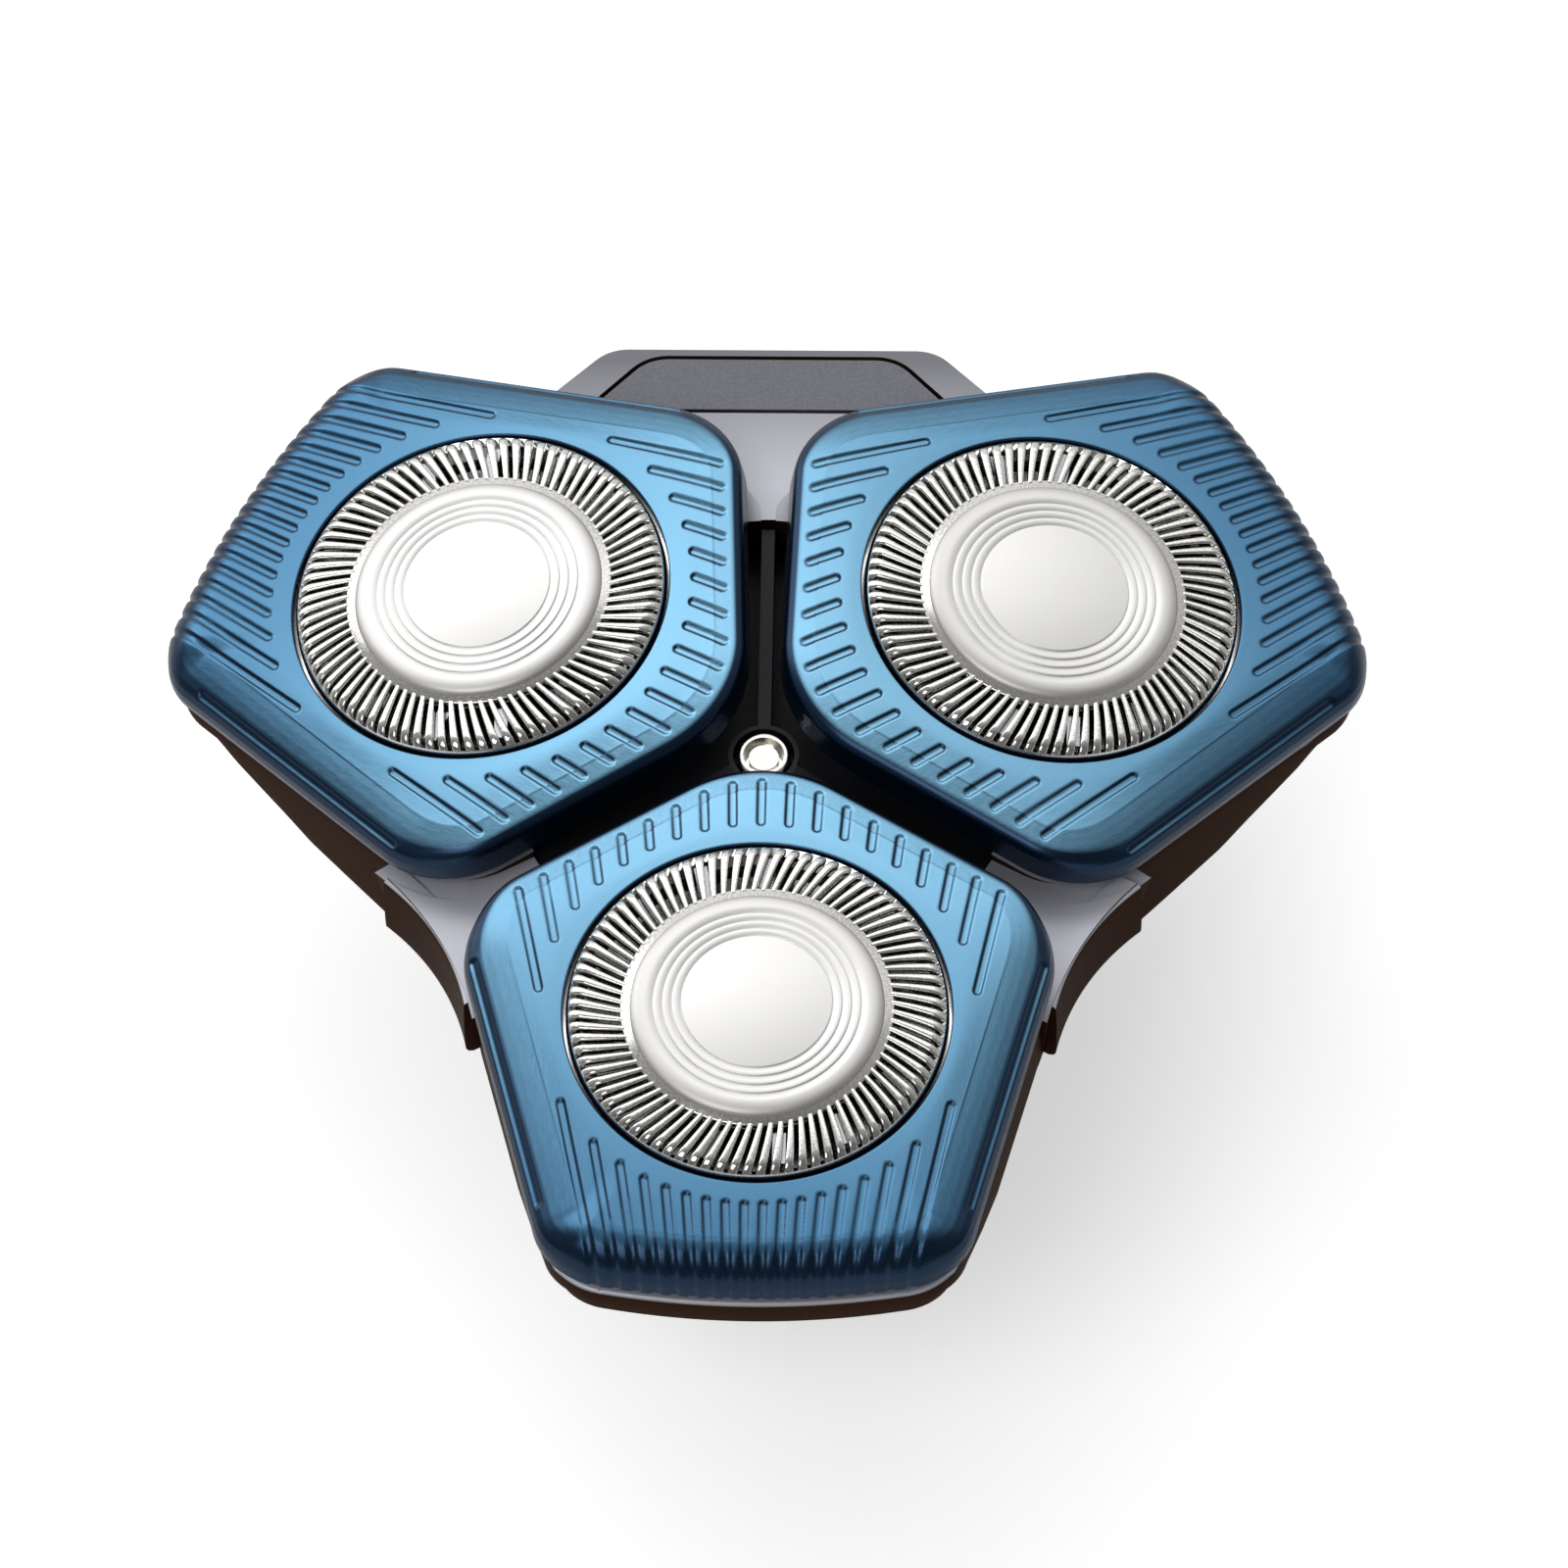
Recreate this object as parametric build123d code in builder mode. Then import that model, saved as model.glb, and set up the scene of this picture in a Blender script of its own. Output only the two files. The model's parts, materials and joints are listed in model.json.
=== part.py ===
"""Rotary shaver head: a click-on shaving unit with three floating rotary cutters.

Millimetres, +Z up. The origin is on the drive axis at the bottom rim of the neck, where
the unit stands. +Y points to the chin with the release button, -Y to the single front head.
"""

import math
import os

from build123d import *

os.makedirs("parts", exist_ok=True)

# Where the three heads stand: ring centres, lean and roll
face_height = 24.0
head_radius = 17.72
front_lean = 2.84
rear_lean = 7.32
rear_roll = 5.53
front_rise = 0.26
rear_rise = 0.14
pivot_depth = 5.8

# Head cap: a pentagon with a bowed base edge, its apex towards the drive axis
cap_apex_u = -16.7
cap_shoulder_u = -6.6
cap_shoulder_v = 16.4
cap_base_u = 14.7
cap_base_v = 10.9
cap_base_bow = 1.3
apex_round = 7.6
shoulder_round = 5.5
base_round = 4.2
cap_height = 2.5
cap_edge_round = 1.2
cap_top = 1.2
cap_wall = 1.7
ring_hole_r = 10.3
channel_fan_u = 57.0
channel_step = 1.25
channel_count = 19
channel_width = 0.6
channel_depth = 0.18
channel_margin = 0.75
channel_rim = 1.1

# Slotted comb, its trim disc and the ring that holds it in the cap
comb_r = 10.15
comb_rise = 0.55
comb_round = 0.9
comb_plate = 0.4
comb_wall = 0.4
comb_flange = 0.5
comb_flange_reach = 1.0
slot_count = 84
slot_inner_r = 7.25
slot_outer_r = 9.6
slot_width = 0.26
slot_swirl = 14.0
swirl_way = {"front": -1, "left": 1, "right": -1}
trim_r = 6.75
trim_plate = 0.6
trim_centre_r = 4.0
trim_terrace = 0.5
trim_terraces = 4
trim_step = 0.05
trim_round = 0.2
trim_boss_r = 2.1
trim_boss_length = 0.7
pin_r = 1.0
running_gap = 0.06
seat_gap = 0.02

# Cutter with its lifted blades, and the hub that drives it
blade_count = 15
blade_inner_r = 7.4
blade_outer_r = 9.4
blade_thickness = 0.7
blade_rake = 25.0
blade_height = 2.0
blade_inset = 0.15
cutter_plate = 0.6
hub_r = 3.4
hub_collar = 0.5
hub_end_depth = 7.0
socket_flats = 4.1
socket_top_depth = 4.7

# Retainer spider and gimbal ring
retainer_ring_r = 11.8
retainer_ring_thickness = 0.8
retainer_arm_width = 2.2
bearing_r = 4.7
bearing_length = 0.8
lug_thickness = 0.9
lug_width = 2.2
lug_below_pin = 0.5
join = 0.3
gimbal_inner_r = 6.1
gimbal_outer_r = 7.8
gimbal_height = 1.9
gimbal_pin_r = 0.6
post_thickness = 1.3
post_width = 2.4

# Holder frame
cap_gap = 1.5
ledge_inset = 0.75
frame_wall = 1.2
frame_ledge = 1.3
frame_taper = 7.0
frame_depth = 10.0
head_opening_r = 12.3
cap_swing_gap = 0.5
saddle_z = face_height - 4.3
saddle_inner_r = 13.1
saddle_outer_r = 20.0
saddle_bow = 0.9
saddle_half_width = 4.9
chin_inner_y = 14.9
chin_outer_y = 26.9
chin_top_half = 8.9
chin_side_half = 12.0
chin_side_y = 23.6
chin_inner_z = face_height - 1.3
chin_outer_z = face_height - 2.3
chin_round = 2.5
chin_thickness = 4.6
hull_tip_r = 33.5
hull_tip_z = face_height - 7.0
hull_slope = 0.26

# Release button in the chin
button_low_y = 22.6
button_high_y = 26.1
button_low_half = 9.8
button_high_half = 6.7
button_round = 2.4
button_thickness = 1.3
button_travel = 0.6
button_groove = 0.25
stem_width = 4.0
stem_thickness = 1.4
stem_y = 23.6
stem_end_z = 16.6
barb_reach = 0.6
barb_height = 0.4
button_coil_x = 6.0
button_coil_r = 0.75
button_coil_wire_r = 0.16
button_coil_pocket = 1.2
button_coil_turns = 2.5

# Dark deck between the heads and its centre screw
deck_gap = 0.1
deck_thickness = 1.6
rib_width = 0.7
rib_top_z = face_height - 1.8
hub_boss_r = 1.9
sink_r = 1.65
screw_head_r = 1.45
screw_head_height = 1.0
screw_recess_r = 1.1
screw_recess_depth = 0.7
screw_shank_r = 0.75
screw_head_round = 0.2
screw_pin_r = 0.8
screw_pin_height = 0.4

# Support plate that carries the heads
plate_z = 15.65
plate_thickness = 1.0
plate_r = 17.4
plate_wing_half = 10.0
plate_wing_r = 20.2
gimbal_pass_r = 8.0
frame_boss_radius = 15.7
frame_boss_r = 1.6
frame_screw_head_r = 1.3
frame_screw_head = 0.8
frame_screw_length = 2.6

# Drive: one centre gear turns three driven gears
gear_module = 0.5
centre_teeth = 41
driven_teeth = 28
gear_face = 2.4
gear_z = 10.3
gear_web = 0.8
spindle_radius = gear_module * (centre_teeth + driven_teeth) / 2
backlash = 0.12
tube_r = 3.1
tube_top_z = 16.3
tube_lip = 0.8
spindle_r = 1.1
collar_flats = 4.1
collar_height = 1.2
collar_lift = 0.8
tip_flats = 2.5
tip_height = 1.0
tip_z = 18.4
tip_chamfer = 0.25
gear_journal_r = 1.5
gear_journal = 0.5
coil_r = 1.5
coil_wire_r = 0.2
coil_turns = 2.5

# Lower shell: neck, gear well and hair pan
neck_r = 14.2
neck_wall = 1.3
spigot_length = 4.5
groove_length = 1.5
groove_depth = 0.7
shoulder_r = 15.4
well_floor_z = 8.8
floor_thickness = 1.2
well_wall = 1.2
well_lobe_r = 8.9
well_hub_r = 15.2
pan_gap = 0.3
pan_floor = 1.2
cover_z = 13.3
cover_thickness = 0.8
cover_gap = 0.1
cover_screw_radius = 12.9
cover_boss_r = 1.7
cover_screw_r = 0.7
cover_screw_head_r = 1.25
cover_screw_head = 0.7
cover_screw_length = 3.0
shaft_r = 1.6
shaft_top_z = 14.9
journal_r = 2.4
coupling_r = 3.3
coupling_low_z = 1.2
coupling_top_z = 8.1
seal_r = 4.4
drive_bore_r = 2.0
drive_bore_depth = 6.0
drive_key_width = 0.8
drive_key_reach = 2.7
catch_width = 5.0
catch_thickness = 1.0
catch_y = 21.8
catch_top_z = 18.2
catch_pocket = 0.4

# Sizes that follow from the ones above
ledge_depth = cap_height + cap_gap
draft = math.tan(math.radians(frame_taper))
blade_top = comb_rise - comb_plate - running_gap
cutter_top = blade_top - blade_height
cutter_low = cutter_top - cutter_plate
ring_top = -cap_top - 2 * seat_gap - comb_flange
ring_low = ring_top - retainer_ring_thickness
bearing_top = cutter_low - hub_collar - running_gap
bearing_low = bearing_top - bearing_length
well_z = well_floor_z + floor_thickness
plate_top_z = plate_z + plate_thickness
deck_low_z = saddle_z - deck_thickness
sink_z = rib_top_z - screw_head_height
collar_top_z = tube_top_z - tube_lip - collar_lift
coil_foot_z = gear_z + gear_web
coil_length = collar_top_z - collar_height - coil_foot_z
chin_floor_z = chin_outer_z - chin_thickness
pocket_z = chin_outer_z - button_thickness - button_travel
button_low_z = pocket_z + button_travel
valley_azimuths = (210, 330)
screw_azimuths = (90, 210, 330)


def head_frame(azimuth, lean, roll, rise):
    """Plane of one head: origin at its ring centre, x outward, z out of its face."""
    turn = math.radians(azimuth)
    outward = Vector(math.cos(turn), math.sin(turn), 0)
    along = Vector(-math.sin(turn), math.cos(turn), 0)
    up = Vector(0, 0, 1)
    tipped = outward * math.sin(math.radians(lean)) + up * math.cos(math.radians(lean))
    slope = outward * math.cos(math.radians(lean)) - up * math.sin(math.radians(lean))
    normal = tipped * math.cos(math.radians(roll)) - along * math.sin(math.radians(roll))
    centre = outward * head_radius + up * (face_height + rise)
    return Plane(origin=centre, x_dir=slope, z_dir=normal)


heads = {
    "front": head_frame(270, front_lean, 0, front_rise),
    "left": head_frame(150, rear_lean, -rear_roll, rear_rise),
    "right": head_frame(30, rear_lean, rear_roll, rear_rise),
}
spindle_azimuth = {}
for name, face in heads.items():
    pivot = face.offset(-pivot_depth).origin
    spindle_azimuth[name] = math.degrees(math.atan2(pivot.Y, pivot.X))


def save(builder, name):
    """Label one finished piece and write it."""
    builder.part.label = name
    export_step(builder.part, f"parts/{name}.step")


def spot(name, height):
    """Level plane over one drive spindle at a height."""
    turn = math.radians(spindle_azimuth[name])
    centre = (spindle_radius * math.cos(turn), spindle_radius * math.sin(turn), height)
    return Plane(origin=centre, x_dir=(math.cos(turn), math.sin(turn), 0), z_dir=(0, 0, 1))


def outward_plane(azimuth, height):
    """Level plane on the drive axis with x towards an azimuth."""
    turn = math.radians(azimuth)
    return Plane(origin=(0, 0, height), x_dir=(math.cos(turn), math.sin(turn), 0), z_dir=(0, 0, 1))


def head_outline(grow):
    """Pentagon of a head cap with rounded corners, grown or shrunk evenly."""
    with BuildSketch() as outline:
        with BuildLine():
            Line((cap_base_u, cap_base_v), (cap_shoulder_u, cap_shoulder_v))
            Line((cap_shoulder_u, cap_shoulder_v), (cap_apex_u, 0))
            Line((cap_apex_u, 0), (cap_shoulder_u, -cap_shoulder_v))
            Line((cap_shoulder_u, -cap_shoulder_v), (cap_base_u, -cap_base_v))
            bow = (cap_base_u + cap_base_bow, 0)
            ThreePointArc((cap_base_u, -cap_base_v), bow, (cap_base_u, cap_base_v))
        make_face()
        for u, radius in (
            (cap_apex_u, apex_round),
            (cap_shoulder_u, shoulder_round),
            (cap_base_u, base_round),
        ):
            sharp = [v for v in outline.vertices() if abs(v.X - u) < 1e-6]
            fillet(sharp, radius)
        if grow:
            offset(amount=grow, kind=Kind.ARC, mode=Mode.REPLACE)
    return outline.sketch


def channel_lanes(start_u, end_u, count):
    """Fan of narrow lanes across a cap, whose lines meet at one point beyond its base."""
    middle = channel_fan_u - (start_u + end_u) / 2
    spread = (count - 1) * channel_step
    with BuildSketch() as lanes:
        with Locations((channel_fan_u, 0)):
            with PolarLocations(middle, count, 180 - spread / 2, spread, endpoint=True):
                Rectangle(end_u - start_u, channel_width)
    return lanes.sketch


def channel_outline():
    """Channels of a cap: lanes behind the ring, lanes from the ring to the base, two beside it."""
    rim_r = ring_hole_r + channel_rim
    edge_u = cap_base_u + cap_base_bow
    with BuildSketch() as channels:
        add(channel_lanes(cap_apex_u, 0, channel_count))
        add(head_outline(-channel_margin), mode=Mode.INTERSECT)
        add(channel_lanes(0, edge_u, channel_count - 1))
        Circle(rim_r, mode=Mode.SUBTRACT)
        with Locations((channel_fan_u, 0)):
            for side in (-1, 1):
                turn = 180 + side * (channel_count + 1) / 2 * channel_step
                with PolarLocations(channel_fan_u - cap_base_u / 4, 1, turn):
                    Rectangle(1.5 * cap_base_u, channel_width)
    return channels.sketch


def valley_outline(inset, widen):
    """Saddle between two heads, x outward: straight inner edge and hollowed outer edge."""
    outer_r = saddle_outer_r - inset
    with BuildSketch() as saddle:
        with BuildLine():
            inner = (saddle_inner_r - widen, saddle_half_width + widen)
            outer = (outer_r + saddle_bow, saddle_half_width + widen)
            Line(inner, outer)
            ThreePointArc(outer, (outer_r, 0), (outer[0], -outer[1]))
            Line((outer[0], -outer[1]), (inner[0], -inner[1]))
            Line((inner[0], -inner[1]), inner)
        make_face()
    return saddle.sketch


def chin_outline(grow):
    """Plan of the chin between the two rear heads, its outer corners rounded."""
    with BuildSketch() as chin:
        with BuildLine():
            Polyline(
                (-saddle_half_width, chin_inner_y),
                (saddle_half_width, chin_inner_y),
                (chin_side_half, chin_side_y - 2),
                (chin_side_half, chin_side_y),
                (chin_top_half, chin_outer_y),
                (-chin_top_half, chin_outer_y),
                (-chin_side_half, chin_side_y),
                (-chin_side_half, chin_side_y - 2),
                close=True,
            )
        make_face()
        fillet(chin.vertices().group_by(Axis.Y)[-1], chin_round)
        if grow:
            offset(amount=grow, kind=Kind.ARC, mode=Mode.REPLACE)
    return chin.sketch


def button_outline(grow):
    """Plan of the release button: wide low edge, rounded high corners."""
    with BuildSketch() as face:
        with BuildLine():
            Polyline(
                (-button_low_half, button_low_y),
                (button_low_half, button_low_y),
                (button_high_half, button_high_y),
                (-button_high_half, button_high_y),
                close=True,
            )
        make_face()
        fillet(face.vertices().group_by(Axis.Y)[-1], button_round)
        if grow:
            offset(amount=grow, kind=Kind.ARC, mode=Mode.REPLACE)
    return face.sketch


def gear_outline(teeth, phase):
    """Spur gear profile with straight-flanked teeth, the first tooth at an angle."""
    pitch_r = gear_module * teeth / 2
    tip_r = pitch_r + gear_module * 0.95
    root_r = pitch_r - gear_module * 1.2
    step = 2 * math.pi / teeth
    half_root = step * 0.36
    half_pitch = step / 4 - backlash / 2 / pitch_r
    half_tip = step * 0.11
    points = []
    for tooth in range(teeth):
        middle = math.radians(phase) + tooth * step
        for radius, side in (
            (root_r, -half_root),
            (pitch_r, -half_pitch),
            (tip_r, -half_tip),
            (tip_r, half_tip),
            (pitch_r, half_pitch),
            (root_r, half_root),
        ):
            points.append((radius * math.cos(middle + side), radius * math.sin(middle + side)))
    with BuildSketch() as gear:
        with BuildLine():
            Polyline(*points, close=True)
        make_face()
    return gear.sketch


def hull_z(radius):
    """Height of the hull's shallow cone at a radius from the drive axis."""
    return hull_tip_z - hull_slope * (hull_tip_r - radius)


def under_cone(rise):
    """Everything under the hull's shallow cone raised by an amount."""
    far = 3 * head_radius
    with BuildPart() as under:
        with BuildSketch(Plane.XZ):
            with BuildLine():
                Polyline(
                    (0, -face_height),
                    (far, -face_height),
                    (far, hull_z(far) + rise),
                    (0, hull_z(0) + rise),
                    close=True,
                )
            make_face()
        revolve(axis=Axis.Z)
    return under.part


def head_cap(face):
    """Blue cap: domed pentagon with a round hole and a fan of channels, hollow below."""
    with BuildPart() as cap:
        with BuildSketch(face.offset(-cap_height)):
            add(head_outline(0))
        extrude(amount=cap_height)
        fillet(cap.faces().sort_by(Axis(face.origin, face.z_dir))[-1].edges(), cap_edge_round)
        with BuildSketch(face.offset(-cap_height)):
            add(head_outline(-cap_wall))
        extrude(amount=cap_height - cap_top, mode=Mode.SUBTRACT)
        with BuildSketch(face.offset(-cap_height)):
            Circle(ring_hole_r)
        extrude(amount=cap_height, mode=Mode.SUBTRACT)
        with BuildSketch(face):
            add(channel_outline())
        extrude(amount=-channel_depth, mode=Mode.SUBTRACT)
    return cap


def turned(face, angle):
    """The head's plane turned about its own axis."""
    turn = math.radians(angle)
    towards = face.x_dir * math.cos(turn) + face.y_dir * math.sin(turn)
    return Plane(origin=face.origin, x_dir=towards, z_dir=face.z_dir)


def head_section(face):
    """Half section plane of one head: x outward from its axis, y out of its face."""
    return Plane(origin=face.origin, x_dir=face.x_dir, z_dir=-face.y_dir)


def head_comb(face, way):
    """Slotted steel comb: a shallow cup that stands out of the cap, with a flange below it."""
    section = head_section(face)
    top = comb_rise
    plate_low = top - comb_plate
    flange_top = -cap_top - seat_gap
    flange_low = flange_top - comb_flange
    with BuildPart() as comb:
        with BuildSketch(section) as cup:
            with BuildLine():
                Polyline(
                    (trim_boss_r + seat_gap, top),
                    (comb_r, top),
                    (comb_r, flange_top),
                    (comb_r + comb_flange_reach, flange_top),
                    (comb_r + comb_flange_reach, flange_low),
                    (comb_r - comb_wall, flange_low),
                    (comb_r - comb_wall, plate_low),
                    (trim_boss_r + seat_gap, plate_low),
                    close=True,
                )
            make_face()
            for height, radius, reach in (
                (top, comb_round, comb_r),
                (plate_low, comb_round - comb_plate, comb_r - comb_wall),
            ):
                rim = [
                    corner
                    for corner in cup.vertices()
                    if abs(corner.X - reach) < 1e-6 and abs(corner.Y - height) < 1e-6
                ]
                fillet(rim, radius)
        revolve(axis=Axis(face.origin, face.z_dir))
        with BuildSketch(face.offset(plate_low - comb_round)):
            with PolarLocations((slot_inner_r + slot_outer_r) / 2, slot_count):
                reach = slot_outer_r - slot_inner_r
                Rectangle(reach, slot_width, rotation=way * slot_swirl)
        extrude(amount=comb_plate + comb_round, mode=Mode.SUBTRACT)
    return comb


def head_trim(face):
    """Bright disc on the comb, falling in terraces, with a boss that guides the cutter's pin."""
    section = head_section(face)
    low = comb_rise
    top = low + trim_plate
    boss_end = low - comb_plate - trim_boss_length
    terraces = []
    for step in range(trim_terraces):
        edge_r = trim_centre_r + step * trim_terrace
        terraces.append((edge_r, top - step * trim_step))
        terraces.append((edge_r, top - (step + 1) * trim_step))
    with BuildPart() as trim:
        with BuildSketch(section):
            with BuildLine():
                Polyline(
                    (0, top),
                    *terraces,
                    (trim_r, top - trim_terraces * trim_step),
                    (trim_r, low),
                    (trim_boss_r, low),
                    (trim_boss_r, boss_end),
                    (pin_r + running_gap, boss_end),
                    (pin_r + running_gap, low - comb_plate),
                    (0, low - comb_plate),
                    close=True,
                )
            make_face()
        revolve(axis=Axis(face.origin, face.z_dir))
    return trim


def head_cutter(face):
    """Steel cutter: a ring plate with raked blades standing up to the comb."""
    with BuildPart() as cutter:
        with BuildSketch(face.offset(cutter_low)):
            Circle(blade_outer_r)
            Circle(hub_r, mode=Mode.SUBTRACT)
        extrude(amount=cutter_plate)
        rake_run = blade_height * math.tan(math.radians(blade_rake))
        foot = cutter_low + cutter_plate / 2
        for blade in range(blade_count):
            spoke = turned(face, blade * 360 / blade_count)
            side = Plane(origin=spoke.origin, x_dir=spoke.y_dir, z_dir=spoke.x_dir)
            with BuildSketch(side.offset(blade_inner_r)):
                with BuildLine():
                    Polyline(
                        (0, foot),
                        (blade_thickness, foot),
                        (blade_thickness + rake_run, blade_top),
                        (rake_run, blade_top),
                        close=True,
                    )
                make_face()
            extrude(amount=blade_outer_r - blade_inner_r - blade_inset)
    return cutter


def head_hub(face):
    """Plastic hub of the cutter: pin above, collar under the plate, hex socket below."""
    section = head_section(face)
    pin_top = comb_rise - comb_plate - running_gap
    shoulder = pin_top - trim_boss_length - running_gap
    with BuildPart() as hub:
        with BuildSketch(section):
            with BuildLine():
                Polyline(
                    (0, pin_top),
                    (pin_r, pin_top),
                    (pin_r, shoulder),
                    (hub_r, shoulder),
                    (hub_r, cutter_low),
                    (hub_r + hub_collar, cutter_low),
                    (hub_r + hub_collar, cutter_low - hub_collar),
                    (hub_r, cutter_low - hub_collar),
                    (hub_r, -hub_end_depth),
                    (0, -hub_end_depth),
                    close=True,
                )
            make_face()
        revolve(axis=Axis(face.origin, face.z_dir))
        with BuildSketch(face.offset(-hub_end_depth)):
            RegularPolygon(socket_flats / 2, 6, major_radius=False)
        extrude(amount=hub_end_depth - socket_top_depth, mode=Mode.SUBTRACT)
    return hub


def head_retainer(face):
    """Plastic spider: ring under the comb's flange, arms to the hub's bearing, gimbal pins."""
    lug_outer = gimbal_inner_r - running_gap
    lug_low = -pivot_depth - gimbal_pin_r - lug_below_pin
    ring_inner = blade_outer_r + 4 * running_gap
    arm_inner = bearing_r - 2 * join
    with BuildPart() as retainer:
        with BuildSketch(face.offset(ring_low)):
            Circle(retainer_ring_r)
            Circle(ring_inner, mode=Mode.SUBTRACT)
        extrude(amount=retainer_ring_thickness)
        with BuildSketch(face.offset(bearing_low)):
            Circle(bearing_r)
            Circle(hub_r + running_gap, mode=Mode.SUBTRACT)
        extrude(amount=bearing_length)
        for azimuth in (45, 135, 225, 315):
            spoke = turned(face, azimuth)
            side = Plane(origin=spoke.origin, x_dir=spoke.x_dir, z_dir=-spoke.y_dir)
            with BuildSketch(side):
                with BuildLine():
                    Polyline(
                        (arm_inner, bearing_low),
                        (ring_inner + join, bearing_low),
                        (retainer_ring_r - join, ring_low),
                        (retainer_ring_r - join, ring_low + join),
                        (ring_inner, ring_low + join),
                        (ring_inner, bearing_top),
                        (arm_inner, bearing_top),
                        close=True,
                    )
                make_face()
            extrude(amount=retainer_arm_width / 2, both=True)
        for azimuth in (0, 180):
            spoke = turned(face, azimuth)
            with BuildSketch(spoke.offset(lug_low)):
                Circle(lug_outer)
                Circle(lug_outer - lug_thickness, mode=Mode.SUBTRACT)
                with Locations((lug_outer / 2, 0)):
                    Rectangle(lug_outer, lug_width, mode=Mode.INTERSECT)
            extrude(amount=bearing_top - lug_low)
            with BuildSketch(spoke.offset(bearing_low)):
                with Locations(((arm_inner + lug_outer) / 2, 0)):
                    Rectangle(lug_outer - arm_inner - join, lug_width)
            extrude(amount=bearing_length)
            centre = spoke.offset(-pivot_depth).origin
            with BuildSketch(Plane(origin=centre, z_dir=spoke.x_dir).offset(lug_outer - join)):
                Circle(gimbal_pin_r)
            extrude(amount=gimbal_outer_r - lug_outer)
    return retainer


def head_gimbal(face):
    """Gimbal ring: bores for the retainer's pins, own pins at right angles to them."""
    low = -pivot_depth - gimbal_height / 2
    with BuildPart() as gimbal:
        with BuildSketch(face.offset(low)):
            Circle(gimbal_outer_r)
            Circle(gimbal_inner_r, mode=Mode.SUBTRACT)
        extrude(amount=gimbal_height)
        centre = face.offset(-pivot_depth).origin
        with BuildSketch(Plane(origin=centre, z_dir=face.x_dir).offset(-gimbal_outer_r)):
            Circle(gimbal_pin_r + running_gap)
        extrude(amount=2 * gimbal_outer_r, mode=Mode.SUBTRACT)
        for way in (face.y_dir, -face.y_dir):
            with BuildSketch(Plane(origin=centre, z_dir=way).offset(gimbal_outer_r - join)):
                Circle(gimbal_pin_r)
            extrude(amount=post_thickness + join)
    return gimbal


def tapered_blocks(inset, drop, widen):
    """Tapered blocks under the heads, in the two valleys and in the chin, set in and lowered."""
    blocks = []
    shrink = inset + drop * draft
    for face in heads.values():
        with BuildPart() as block:
            with BuildSketch(face.offset(-ledge_depth - drop)):
                add(head_outline(-ledge_inset - shrink))
            extrude(amount=-frame_depth, taper=frame_taper)
        blocks.append(block.part)
    for azimuth in valley_azimuths:
        with BuildPart() as block:
            with BuildSketch(outward_plane(azimuth, saddle_z - drop)):
                add(valley_outline(shrink, widen))
            extrude(amount=-frame_depth, taper=frame_taper)
        blocks.append(block.part)
    return blocks


def chin_block(inset, top_z):
    """Tapered block of the chin below a height, set in evenly."""
    with BuildPart() as block:
        with BuildSketch(Plane.XY.offset(top_z)):
            add(chin_outline(-inset - (chin_inner_z - top_z) * draft))
        extrude(amount=-frame_depth, taper=frame_taper)
    return block.part


def above_chin():
    """Everything over the chin's sloping top."""
    with BuildPart() as over:
        with BuildSketch(Plane.YZ):
            with BuildLine():
                Polyline(
                    (chin_inner_y, chin_inner_z),
                    (chin_outer_y, chin_outer_z),
                    (chin_outer_y, 2 * face_height),
                    (chin_inner_y, 2 * face_height),
                    close=True,
                )
            make_face()
        extrude(amount=2 * chin_side_half, both=True)
    return over.part


def deck_outline(inset):
    """Triangle between the heads whose three edges end the deck's arms."""
    low = saddle_inner_r - inset
    high = chin_inner_y - inset
    corner_x = (high + 2 * low) / (2 * math.cos(math.radians(30)))
    with BuildSketch() as triangle:
        with BuildLine():
            Polyline((0, -2 * low), (corner_x, high), (-corner_x, high), close=True)
        make_face()
    return triangle.sketch


def plate_outline(grow):
    """Round plate with a wide wing under each head."""
    with BuildSketch() as plate:
        Circle(plate_r + grow)
        for name in heads:
            with Locations(spot(name, 0)):
                with Locations((plate_wing_r / 2 - spindle_radius, 0)):
                    Rectangle(plate_wing_r + 2 * grow, 2 * plate_wing_half + 2 * grow)
    return plate.sketch


def well_outline(grow):
    """Trefoil plan of the gear well, over the centre gear and the three driven gears."""
    with BuildSketch() as well:
        Circle(well_hub_r + grow)
        for name in heads:
            with Locations(spot(name, 0)):
                Circle(well_lobe_r + grow)
    return well.sketch


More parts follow.
